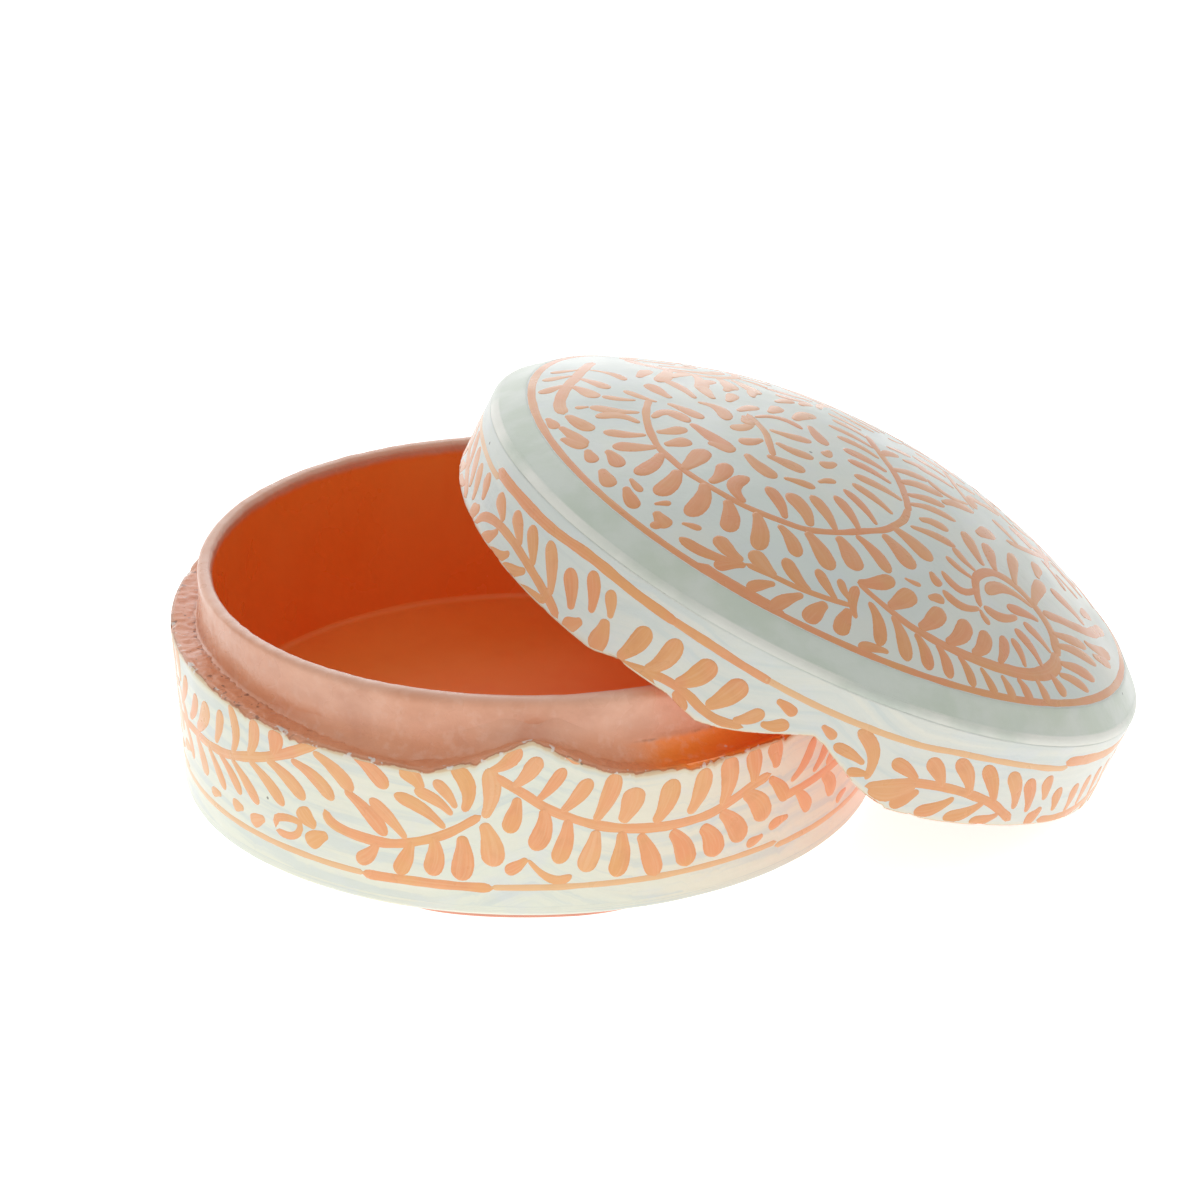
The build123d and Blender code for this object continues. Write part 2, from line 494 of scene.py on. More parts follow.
def collar_inside(angle, rim, top):
    """Rows of the collar's inner face, from its top down to the floor."""
    rows = []
    for z in span(top, floor_top, INSIDE_ROWS)[1:]:
        dents = INSIDE_DENTS.depth - uneven(round_point(COLLAR_INNER_R, angle, z), INSIDE_DENTS)
        rows.append((COLLAR_INNER_R + dents * smooth((top - z) / DENTS_FADE), z, rim - z))
    return rows


def collar_section(angle):
    """Section of the collar: outside, rim and inner face."""
    rim, outer_round, inner_round = rim_shape(angle)
    outside = collar_outside(angle, rim, rim - outer_round)
    inside = collar_inside(angle, rim, rim - inner_round)
    return outside + collar_rim(angle, rim, outer_round, inner_round) + inside


def floor_section(angle):
    """Section of the floor board: its flat underside, its edge, and a top that curves up into the collar."""
    points = [(0, SHEET_THICK), (collar_outer_r, SHEET_THICK), (collar_outer_r, floor_top), (cove_r, floor_top)]
    points += arc(cove_r - FLOOR_COVE, floor_top + FLOOR_COVE, FLOOR_COVE, 0, -pi / 2, FLOOR_COVE_ROWS)
    for radius in span(cove_r - FLOOR_COVE, 0, FLOOR_ROWS)[1:]:
        points.append((radius, floor_top + uneven(round_point(radius, angle, 0), FLOOR_SWELL)))
    return [(radius, z, INSIDE) for radius, z in points]


def sheet_section(angle):
    """Section of the sheet pasted under the base, whose cut edge shows only at the front."""
    shown = around(angle, SHEET_FRONT)
    waver = uneven(round_point(sheet_r, angle, 0), SHEET_WAVER)
    radius = sheet_r + SHEET_SHOWN * shown + waver
    beveled_r = radius - SHEET_BEVEL
    points = [(0, 0), (beveled_r, 0), (radius, SHEET_WIDEST_Z), (beveled_r, SHEET_THICK), (0, SHEET_THICK)]
    return [(at_r, z, 0) for at_r, z in points]


# Lid


def lid_rows_below(angle, bottom):
    """Rows of the lid's side down its inside and across its cut edge."""
    inner_bottom = cut_height(lid_inner_r, angle) + CUT_GAP
    edge_r = reach(side_surface(angle, bottom, 0))
    rows = [(lid_inner_r, z, INSIDE) for z in span(dome_inside_z(dome_r), inner_bottom, LID_INSIDE_ROWS)]
    for radius in span(lid_inner_r, edge_r - EDGE_ROUND, LID_CUT_ROWS)[1:]:
        share = (radius - lid_inner_r) / (edge_r - lid_inner_r)
        rough = LID_CUT_GRAIN.depth + uneven(round_point(radius, angle, 0), LID_CUT_GRAIN)
        rows.append((radius, blend(inner_bottom, bottom, share) + rough * share, LID_EDGE))
    return rows + [(edge_r - EDGE_BEVEL, bottom + EDGE_BEVEL, LID_EDGE)]


def lid_rows_above(angle, bottom):
    """Rows of the lid's side up its outside: upright side, soft ridge and sloping shoulder."""
    rows = []
    for z in span(bottom + EDGE_ROUND, ridge_start_z, SIDE_ROWS):
        rows.append((reach(side_surface(angle, z, 0)), z, LID_EDGE + z - bottom))
    ridge = arc(rows[-1][0] - RIDGE_ROUND, ridge_start_z, RIDGE_ROUND, 0, shoulder_turn, RIDGE_ROWS)[1:]
    rows += [(radius, z, RIDGE) for radius, z in ridge]
    ridge_r, ridge_top = ridge[-1]
    for share in span(0, 1, SHOULDER_ROWS)[1:]:
        radius = blend(ridge_r, shoulder_in_r, share)
        z = blend(ridge_top, shoulder_top_z - BORDER_FALL, share)
        swell = handmade(round_point(radius, angle, z), SHOULDER_SEED) * (1 - share)
        rows.append((radius + swell, z, SHOULDER))
    return rows


def skirt_section(angle):
    """Section of the lid's side, from its inside round its cut edge and shoulder to the dome's seat."""
    bottom = lid_edge(angle) + LID_CHIP_SHARE * chip(angle + LID_CHIP_TURN)
    seat = [(dome_r, shoulder_top_z, OUTSIDE), (dome_r, dome_inside_z(dome_r), INSIDE)]
    return lid_rows_below(angle, bottom) + lid_rows_above(angle, bottom) + seat


def dome_section(angle):
    """Section of the domed cap: outer face, edge and inner face."""
    section = []
    for radius in span(0, dome_r, DOME_RINGS):
        point = dome_surface(radius * cos(angle), radius * sin(angle), 0)
        section.append((reach(point), point.z, OUTSIDE))
    for radius in span(dome_r, 0, DOME_RINGS // 2):
        section.append((radius, dome_inside_z(radius), INSIDE))
    return section


# Strokes of paint: thickness, how deep their edges sink in, rows across, and raggedness of the edges
PAINT_THICK = 0.035
PAINT_SINK = 0.02
ACROSS = (-1, -0.8, -0.4, 0.4, 0.8, 1)
LEAST_WIDTH = 0.04
STROKE_RAGGED = 0.07
STROKE_FINENESS = 0.9
STROKE_SPREAD = 9.0

# Leaves: fullness, bend as a share of the length, and the shares of the length where root, swell and tip lie
LEAF_FULLNESS = 1.08
LEAF_BEND = 0.17
LEAF_BENDS = (0.4, 1.5)
LEAF_LIFTS = (1.0, 1.4)
LEAF_ROWS = 15
ROOT_WIDTH = 0.5
ROOT_TO = 0.09
SWELL_TO = 0.65
TIP_FROM = 0.76

# Stems and ring lines
STEM_STEP = 0.7
STEM_WAVER = 0.18
STEM_FINENESS = 0.35
STEM_SEED = 3.0
THIN_LINE = 1.15

# Tones of the strokes, from full paint at 0 to thin paint at 1
LEAF_PALEST = 0.85
LEAF_TONE_POWER = 0.8
STEM_PALEST = 0.6
THIN_TONE = 1.0

# How much deeper the paint is on the lid than on the base, and how far it keeps from the edges
LID_PAINT = 0.33
LID_SIDE_PAINT = 0.2
WALL_PAINT_LOW = 1.0
WALL_PAINT_CLEAR = 0.7
SIDE_PAINT_CLEAR = 0.45
RIDGE_PAINT_CLEAR = 1.0

# Painted leaf sprays, as they lie on the flattened surface. A spray is its stem's first and last width, the
# stem's points, and its leaves. A leaf is its width, its root, where one is needed a point on its bend, and
# its tip. Widths are in millimetres. A dab is a leaf on its own.

# Base: points are degrees from the front and heights above the table
WALL_SHIFTS = (0, 122.5, 241.5)
WALL_SPRAYS = [
    ((1.6, 1.8), [
        (-78, 13.2), (-70, 13.9), (-62, 14.3), (-56, 15), (-50, 16.6), (-45, 18.2), (-40, 20.2),
        (-34, 23.2),
    ], [
        (2.2, (-76, 15.5), (-70.6, 21.6)), (2.2, (-70.5, 15.3), (-66, 20.6)),
        (3, (-66.8, 15), (-61.6, 20.9)), (2.2, (-59.4, 15.6), (-56.8, 21.5)),
        (2.2, (-54.2, 15.8), (-52.6, 19.5), (-54, 23.4)), (2.4, (-49.6, 17), (-47.6, 23.2)),
        (3, (-43.6, 19), (-42.6, 23)), (2.4, (-74.5, 13.3), (-70.8, 8.6)), (3, (-67.8, 13.6), (-64, 8.6)),
        (2.2, (-62.6, 13.8), (-57.4, 8.8)), (2.2, (-58.6, 14.2), (-52.4, 9.8)),
        (2.3, (-54.6, 14.8), (-47.8, 9.8)), (2.4, (-49.6, 16.2), (-41.8, 11.4)),
        (2.6, (-45.2, 17.8), (-37.2, 13.6)), (2.5, (-39.6, 19.2), (-31.6, 14.9)),
        (2.5, (-35, 21.6), (-28, 17)), (2.5, (-29.4, 17), (-22.4, 11.2)), (2.6, (-27.4, 22.8), (-22, 18.6)),
    ]),
    ((2, 1.4), [
        (-33.4, 13.2), (-32.4, 11.6), (-30, 10.7), (-26, 10.2), (-21.5, 10.2), (-17, 11.2), (-13, 12.6),
        (-10, 14.2), (-6.8, 16.2),
    ], [
        (2.2, (-19, 11.3), (-25, 16.6)), (2.2, (-12.6, 13.7), (-20.8, 17.9)),
        (2, (-11.4, 15.9), (-17.4, 19.1)), (1.9, (-10.8, 17), (-14.2, 21)),
        (2.6, (-9.6, 16.6), (-8.8, 20.4), (-11.2, 23.8)), (2.7, (-6.4, 15.8), (-5.6, 23.6)),
        (3, (-16.2, 19.4), (-19.6, 22.4)), (2.4, (-24, 9.8), (-27.8, 6.4)),
        (2.6, (-18.2, 11), (-20.8, 5.6)), (3, (-14.6, 12.2), (-15.4, 6.2)),
        (3.3, (-10, 12.8), (-10.6, 5.8)), (3.5, (-6.6, 15), (-5.2, 8.2)),
    ]),
    ((1.7, 1.7), [
        (-5, 22.6), (-3, 21.4), (0, 19.6), (2.5, 17.9), (5, 16.6), (8, 15.4), (11, 14.4), (15, 13.5),
        (20, 12.9), (25, 12.8), (30, 13.2), (34, 14.3), (38, 15.6), (42, 16.4),
    ], [
        (2.2, (-5.4, 23.2), (-0.8, 26.8)), (2.4, (-1.8, 20.8), (2.2, 25.4)), (2, (1.8, 18.6), (6, 23.6)),
        (2.4, (5.6, 16.8), (10, 21.7)), (2.8, (10.8, 15), (14, 22.2)), (3.5, (15, 14.4), (17.2, 19.6)),
        (3.2, (20.4, 13.6), (23.2, 20)), (3, (26.2, 14), (28.8, 20.6)), (3.2, (32.2, 14), (33, 21.4)),
        (3, (38.4, 16), (37.6, 21.3)), (3, (43, 17), (41.8, 21.4)), (1.4, (-10.4, 24), (-6.2, 25.8)),
        (1.6, (6.2, 25.6), (8.8, 24.6)), (2.6, (-1.2, 19.2), (-2.8, 13.6)), (3, (2.8, 17.4), (1, 11)),
        (2.8, (6.6, 15.6), (4.8, 8.7)), (3, (11, 13.6), (9, 7.2)), (3, (15, 13), (14, 6)),
        (3, (18, 12.2), (20.8, 5.2)), (3.4, (23.2, 11.8), (26.2, 5.8)), (3.6, (28.6, 11.5), (31.2, 6.2)),
        (3.4, (32, 13), (36.4, 7.4)), (3.6, (36.4, 14.8), (41, 9.4)), (2.4, (41.6, 15.8), (45.8, 11.2)),
    ]),
    ((1.4, 1.4), [(-44, 7.4), (-43.6, 9), (-41, 9.8), (-38.6, 9.6), (-39, 8), (-41, 7), (-44, 7)], []),
    ((1.8, 1.6), [(-27, 4.6), (-20, 4.8), (-12, 4.85), (-5, 4.8)], []),
    ((1.1, 1.1), [(-79, 5.1), (-60, 5), (-40, 4.9), (-26.4, 4.7)], []),
    ((1.1, 1), [(-5.6, 4.9), (0, 5), (20, 5.1), (44, 5.2)], []),
]
WALL_DABS = [
    (2, (0.2, 9.6), (-3.2, 7.4)), (1.5, (0.4, 9.4), (4, 6.3), (7.2, 6.8)), (1.6, (40.8, 7.2), (37.4, 6.6)),
    (1.8, (46.4, 8.4), (42, 7.9)), (1.6, (-59, 7.4), (-62.5, 6.6)), (2, (-52, 7.8), (-55.2, 7.4)),
    (2.2, (-46.6, 8), (-50.2, 6.4)), (3.2, (-35.2, 10), (-38.4, 12.2)), (2.8, (-33, 9.2), (-37.2, 6.8)),
]

# Lid's side: points are degrees round the lid and heights above its ring line
SIDE_LEVEL = 32.5
SIDE_RISING = ((1.6, 1.6), [
    (-168, -8.2), (-166.5, -6.6), (-164, -5.6), (-160, -5.1), (-155, -5.3), (-150, -6.2), (-146, -7.2),
    (-143, -8.1), (-140.5, -9.2),
], [
    (2.4, (-160.5, -4.4), (-165, -2.2)), (2.4, (-154, -5), (-158.8, -1.8)),
    (2.4, (-149.6, -5.8), (-153.8, -1.4)), (2.4, (-143.8, -7.4), (-148.8, -1.2)),
    (2.6, (-139.2, -7), (-143, -2.4)), (2.4, (-135.8, -5.6), (-139, -0.6)),
    (2, (-132.4, -4.6), (-134.6, -1.2)), (2.2, (-160.6, -5.8), (-164.2, -9)),
    (2.2, (-155.4, -6.8), (-161, -9.2)), (2.2, (-150.4, -7), (-156, -9.4)),
    (2.2, (-144, -8.2), (-150.4, -9.8)), (2.4, (-136.6, -7.2), (-139.4, -9.6)),
    (3.2, (-133, -5), (-132.8, -9.8)),
])
SIDE_SPRAYS = [
    ((1.5, 1.5), [
        (-130, -9.9), (-127, -9), (-124, -8.2), (-120, -7.6), (-116, -7.8), (-113, -8.6), (-110, -8.9),
        (-106, -8.2),
    ], [
        (3, (-128.4, -8.6), (-126, -2.5)), (3, (-123.6, -8), (-121, -1.6)),
        (3.2, (-118.4, -7.4), (-114.6, -1.8)), (3.2, (-112.6, -8), (-109, -2.2)),
        (2, (-108, -8), (-104.4, -4.8)), (2, (-104, -6.6), (-100.2, -4.8)),
        (2.2, (-124, -8.4), (-121.6, -10.2)), (2.2, (-118, -8.4), (-115.6, -10.4)),
    ]),
    ((1.6, 1.6), [
        (-84.8, -9.2), (-81.6, -7.8), (-78, -6.6), (-74, -6.1), (-70, -6), (-66, -6.3), (-61.5, -7),
        (-58, -8.2), (-55, -9.4),
    ], [
        (3, (-77, -6.6), (-84, -9.4)), (2.2, (-77.2, -6), (-82.6, -4.4)), (2.4, (-72.4, -6), (-77, -2.6)),
        (2.4, (-66.6, -6.4), (-72.2, -1.6)), (2.4, (-61, -7), (-66.6, -1.6)),
        (2.4, (-55.8, -7.6), (-60.8, -2)), (2.4, (-52.2, -8), (-56, -2.8)), (2.4, (-49, -6), (-51.4, -2.2)),
        (2.2, (-76, -7.4), (-79.6, -10.6)), (2.2, (-69.2, -7.2), (-75, -10.6)),
        (2.2, (-63, -7), (-69.4, -10.4)), (1.8, (-58.6, -8.6), (-64, -10.2)),
        (2.6, (-48.6, -7.2), (-51.4, -9.6)),
    ]),
    ((2, 1.6), [(-168.5, 0.2), (-160, 0.25), (-150, 0.3), (-140, 0.9), (-130, 0.5), (-122, 0.2)], []),
    ((1.5, 1.3), [(-124, 0.3), (-116, 0), (-110, -0.4), (-105, -0.7)], []),
    ((1.1, 1.05), [
        (-107, -0.6), (-95, -1), (-80, -1), (-72, -0.5), (-60, -0.5), (-50, -0.8), (-47, -0.7),
    ], []),
]
SIDE_DABS = [
    (1.8, (-103.4, -2.6), (-99.8, -3.4)), (1.5, (-95.4, -3.2), (-92.6, -4.2)),
    (2.2, (-85.2, -8.2), (-86.2, -4), (-90, -1.9)), (1.8, (-86.6, -6.2), (-92.4, -5.2)),
    (1.5, (-85, -7.4), (-88.6, -8)),
]
SIDE_LOW_SPRAY = ((1.5, 1.5), [
    (-48, -9.4), (-42, -9.3), (-36, -8.7), (-30, -7.6), (-24, -6.8), (-18, -7), (-13, -8.2), (-10.5, -9.4),
], [
    (2.4, (-44.6, -8), (-46.6, -4.4)), (2.4, (-40, -8.6), (-41, -4)), (2.4, (-36, -8), (-36.6, -3)),
    (2.4, (-31, -7.4), (-32.6, -2.4)), (2.4, (-26, -6.6), (-28.4, -2)), (2.4, (-20.6, -6.4), (-23.4, -1.8)),
    (2.4, (-15, -7), (-18.6, -2.2)), (2.2, (-29, -8), (-32, -9.6)), (2.2, (-23, -7.4), (-26.6, -9.4)),
    (2.2, (-17, -7.6), (-21, -9.2)),
])
# Turns of the sprays round the lid, each with the spray that leads it and how far that one is turned
SIDE_SHIFTS = ((0, SIDE_RISING, 0), (120, SIDE_LOW_SPRAY, 0), (240, SIDE_RISING, 240))

# Dome: points are x and y across the lid's axis, x towards its low side
BIG_SPRAY = ((1.2, 1.4), [
    (-31.5, 2), (-32.4, -2), (-32.7, -5), (-32.6, -9), (-31.8, -13.5), (-30.3, -16.5), (-28.5, -19.3),
    (-26, -21.8), (-23.5, -23.8), (-21, -25.4), (-18, -26.6), (-15, -27.4), (-12, -27.8), (-9, -27.2),
    (-6, -26), (-3, -24.3), (0, -22.4), (2, -20), (3.5, -17.6), (4.6, -14),
], [
    (2.2, (-33.2, -10), (-38.6, -9)), (2.2, (-33.8, -6.6), (-36.5, -4.2), (-39.2, -5)),
    (2.2, (-33.4, -3), (-39.6, -1)), (1.6, (-33.4, 1.4), (-37.6, 2.8)), (1.6, (-30.6, 1), (-34.4, 5.2)),
    (2.6, (-32, -13.4), (-37.8, -13.2)), (2.6, (-31.6, -15), (-35.2, -20.4)),
    (3, (-29.6, -19), (-32.6, -25)), (3, (-26.2, -21.6), (-28.6, -29)),
    (2.8, (-23.2, -24.8), (-23.2, -31.4)), (2.8, (-19.2, -26.4), (-19, -34)),
    (2.4, (-16, -28.2), (-13.4, -33.8)), (2.9, (-12, -28.2), (-8.4, -34.6)),
    (3.2, (-7.4, -27.4), (-4.6, -33.2)), (2.4, (-4.6, -26), (0.4, -31.4)),
    (3.2, (-0.4, -23.6), (4.2, -28.6)), (3.2, (1.4, -21), (7.4, -24.9)), (2, (4.4, -18.8), (12, -18)),
    (2.2, (6.2, -15.8), (11.2, -14.6)), (2.6, (-31, -12.6), (-27.4, -10.9)),
    (2.4, (-31.8, -9), (-27.8, -7.2)), (2.4, (-31.8, -4.8), (-29.5, -2.5), (-27, -5.4)),
    (3, (-29, -18.8), (-25.6, -13)), (2.6, (-25.4, -21.4), (-23, -16)),
    (2.4, (-20.6, -24.8), (-22, -21.5), (-19.8, -18.8)), (2.2, (-15, -26.6), (-17.4, -20.2)),
    (2.8, (-11.4, -27), (-14.6, -20.8)), (2.2, (-7.6, -26.4), (-11, -19.8)),
    (2, (-4, -24.8), (-7.4, -18.2)), (1.8, (-1.2, -22), (-5.8, -15.7)), (2, (1.7, -17.6), (-4.2, -13.2)),
])
FRONT_SPRAYS = [
    ((1.4, 1.5), [
        (4.5, -15), (4.6, -12.5), (4.5, -10), (4.4, -8), (3.8, -4), (2.8, 0), (2, 4), (1.6, 8),
    ], [
        (2, (5, -12.6), (13, -10.4)), (2.2, (5, -9.8), (11.6, -7.2)), (2.6, (4.4, -6.5), (12, -3.7)),
        (2.2, (3.4, -3.2), (10, -0.5)), (2, (2.6, 1), (6, 4.6)), (2.4, (3.8, -12.5), (-3.6, -10.5)),
        (2.2, (2.6, -8.4), (-4, -6.2)), (2.6, (2.4, -5), (-4.2, -2.8)), (2.2, (1.8, -1), (-4.4, 1.6)),
        (2, (1.6, 2.6), (-5, 5.6)), (2, (1.4, 6.4), (-3.6, 9.4)), (2, (1.2, 10), (-3.4, 13)),
    ]),
    ((1.8, 1.7), [
        (-43.2, -3.4), (-43.4, 0), (-42.6, 4), (-41.4, 7.6), (-40, 11), (-38.6, 14.6), (-37, 18.6),
        (-35.6, 22),
    ], [
        (2.4, (-41, 7.4), (-38.6, 2)), (2, (-39.4, 11.2), (-36.4, 5.8)), (1.6, (-37.2, 16), (-33.6, 10)),
        (2, (-41.8, 8), (-45.1, 5.1)), (1.8, (-40, 12.6), (-44, 10.8)), (1.6, (-38.4, 16), (-42.4, 14.8)),
    ]),
    ((1.8, 2), [
        (27.4, -19.8), (31, -17.4), (35, -14.8), (38, -12.2), (40, -9), (42.4, -4.6),
    ], [
        (3, (37, -11.6), (30.4, -10.6)), (2.2, (36, -17), (42, -12)), (2, (37.6, -18.4), (41.6, -15)),
        (2.2, (37.2, -8.4), (39.4, -5)),
    ]),
]
BACK_SPRAY = ((1.6, 1.6), [
    (23, -5), (27, -2.6), (31, 1.4), (34, 5.6),
], [
    (2.2, (25.6, -3), (21.6, 0.4)), (2.2, (35.6, 2), (38.4, 4.4)), (2, (29, 0.6), (25.6, 4)),
])
BACK_DABS = [
    (2, (-23.4, 10.6), (-20.2, 15.2)), (2, (-20.2, 4.8), (-18.6, 9.4)), (2, (-19.6, 10), (-17.4, 14.6)),
    (2, (-26.4, 13.8), (-23, 18.2)), (1.8, (-15.6, 9.6), (-14.2, 14.4)), (2, (-31.4, 12), (-29, 17.4)),
    (2.2, (-14.4, 3.6), (-12.2, 7.8)), (2, (-12.2, 10), (-9, 13.4)), (2, (-8, 12), (-5.6, 16)),
    (2.2, (20, 4.4), (24.4, 6.4)), (2, (6.6, 3.4), (11, 5.2)), (2, (4.6, 6.6), (9, 8.2)),
]
SMALL_SPRAY = ((1.3, 1.3), [
    (-18, 1), (-17, -2), (-16.2, -5), (-16, -9), (-15.8, -12),
], [
    (1.8, (-17, 0.2), (-13, 2.2), (-10, 0)), (2.4, (-15.4, -3.4), (-9.2, -3.6)),
    (2.4, (-15, -7.4), (-9.6, -9.2)), (2.2, (-17.8, -2.5), (-21.3, -5.5)),
    (2.2, (-17, -7.4), (-20.6, -9.4)), (2.2, (-18.6, 0), (-18.4, -3.2)),
])
BORDER_SPRAYS = [
    ((1, 1.1), [
        (-5, -39.7), (-9, -39.7), (-13, -39.2), (-17, -38), (-20.6, -36.8),
    ], [
        (1.8, (-20.8, -36.8), (-29.4, -33.2)), (2.4, (-20.8, -36.4), (-24.4, -32.4)),
        (2.6, (-16.2, -38.2), (-19.6, -34.2)), (2.2, (-11.2, -39.4), (-15, -34.4)),
        (1.8, (-7.4, -39.6), (-10.4, -35)), (1.4, (-5.2, -39), (-7, -35.6)),
        (1.7, (-4.4, -41.6), (-4.4, -36)), (2.2, (-20.4, -37.2), (-24.6, -38)),
        (2, (-16.2, -39.4), (-20, -41)), (2.2, (-12.2, -40.2), (-16.6, -43.6)),
        (2.8, (-8.8, -40.6), (-11.4, -44.4)), (2.6, (-5.4, -40.4), (-6.6, -45)),
        (1.6, (0.8, -45), (-3.8, -45.8)),
    ]),
    ((1, 2.6), [
        (-4.5, -35.2), (-2, -36.8), (1, -38.3), (4, -39.4), (8, -39.8), (12, -39.6), (16, -38.8),
        (20, -37.4), (24, -35.3), (27, -32.6), (29, -29.4), (29.6, -26.4),
    ], [
        (2.6, (-4.4, -35.2), (1, -31.9)), (3, (0.4, -37.6), (4.2, -33)), (2.8, (5.2, -39), (8.8, -33.6)),
        (2.8, (9.6, -39.2), (12.8, -33.2)), (2.6, (14, -38.6), (16.2, -33)),
        (2, (18.6, -37.2), (19.4, -31.6)), (1.8, (23.2, -34.6), (20.8, -31)),
        (2.2, (26.4, -32), (21.4, -28.8)), (2, (28.4, -27.6), (23.2, -26)),
        (2.2, (-2.6, -38), (-0.8, -44.6)), (2.4, (1, -38.8), (3.6, -45.2)), (2.2, (4.6, -40.2), (7, -45)),
        (2, (8, -40.2), (10.4, -44.6)), (1.8, (11.6, -40.2), (14.4, -43.8)),
        (1.7, (15.4, -40), (18.4, -43)), (1.8, (19, -39), (21.4, -41.6)), (2, (21.8, -37.6), (24.4, -39.8)),
        (1.9, (25.2, -35.2), (27.6, -37.6)),
    ]),
    ((2.4, 1.4), [
        (29.6, -27.2), (29.2, -23.4), (27.6, -21), (25, -19), (22, -18), (18.8, -18.6), (16.6, -20.4),
        (15, -23), (14.9, -26), (15.4, -29),
    ], [
        (2.2, (25.5, -20.4), (20, -21), (16.8, -25)), (2, (26.4, -22.5), (20.4, -25.2)),
        (2, (22.1, -25.5), (19, -28.2), (16, -28.2)), (1.4, (15.4, -29.4), (17, -31.2)),
        (1.8, (15, -25.4), (12, -27.8), (9, -25.8)), (1.8, (15.2, -29.2), (12, -31), (9, -29.8)),
        (1.6, (14.6, -23.4), (10, -21.8)), (1.8, (15.2, -21.2), (11.6, -18.4)),
        (2.6, (16.8, -18.6), (14.4, -12.1)), (2.6, (19, -17.8), (18.4, -11.6)),
        (2.2, (22.6, -17.8), (23.6, -8.6)), (2.4, (25.8, -19.5), (29, -10.2)),
    ]),
]
FRONT_DABS = [
    (2, (29, -22.7), (36.2, -17.9)), (2, (29.8, -24.7), (38.1, -20)), (2.2, (30.2, -28), (37.3, -24)),
    (1.8, (29.8, -30.6), (35.8, -28)), (2.4, (28, -32), (31, -33.6)), (2.4, (11.4, -6.4), (17.6, -2.4)),
    (2.8, (16.7, -10.3), (20, -6)), (2.2, (28, -10), (29, -5)), (1.2, (-39.8, -1.2), (-41.6, -1.4)),
    (2.2, (-29.2, 0.8), (-24.9, -3.7)), (2.4, (-28.4, 3), (-30.6, 8.8)), (2, (-24.9, 4), (-28, 12)),
    (2.2, (-22.1, 5), (-22.8, 10.7)), (2.4, (-24.8, 2.6), (-22, 1), (-21.6, -3)),
    (2, (-19.3, 1.4), (-15.8, 5.1)), (2.6, (-10.6, 3.2), (-6.7, 8.4)), (2.4, (-8.5, 2.5), (-6.9, -3.5)),
    (1.8, (-6.6, -5), (-7.8, -7.4)), (2, (-6.2, -8.6), (-8.8, -10.8)),
]
DOME_DABS = [
    (2.6, (-26.8, -5.6), (-21.6, -12.4)), (2.6, (-19.8, -12.6), (-15.8, -17.6)),
    (1.8, (-14.8, -17.2), (-10.2, -17.8)), (2.6, (-16.8, -12), (-11.4, -14.2)),
    (1.4, (-9.6, -16), (-6.8, -14.2)), (2.4, (-25, -11), (-21.4, -12.6)), (2, (7.2, -27.2), (8.6, -29.4)),
    (1, (2.8, -31), (5.4, -31)), (1.8, (6.6, -32.8), (9.2, -31.6)), (2.4, (-42.8, -3.6), (-40, -8.8)),
    (1.6, (-45.4, -4), (-44.6, -7.6)), (2, (-44, -7), (-41, -12.8)), (2.2, (-44, -10.4), (-41, -13.4)),
    (1.8, (-41, -14), (-40.2, -17.4)), (2.2, (-38.6, -14.4), (-37.2, -18.8)),
    (2.2, (-39.4, -19), (-38.2, -23.2)), (1.2, (-35.8, -21.4), (-34.4, -24.4)),
    (2, (-36.4, -23.2), (-35, -27.8)), (1.2, (-32.8, -27), (-30.6, -26.8)),
    (2.2, (-32.6, -28.4), (-30.8, -31.4)), (1.6, (-30.4, -30.8), (-33.2, -31.4)),
    (1.2, (-29.2, -30.6), (-26.6, -31.6)),
]
DOME_RING_R = 46.6
# Strokes of the dome's ring: first and last angle, how far in they lie, and width
DOME_RING_STROKES = [(-270, 90, 0, 1.2), (-126, -108, 0.3, 2)]
DOME_RING_STEP = 2


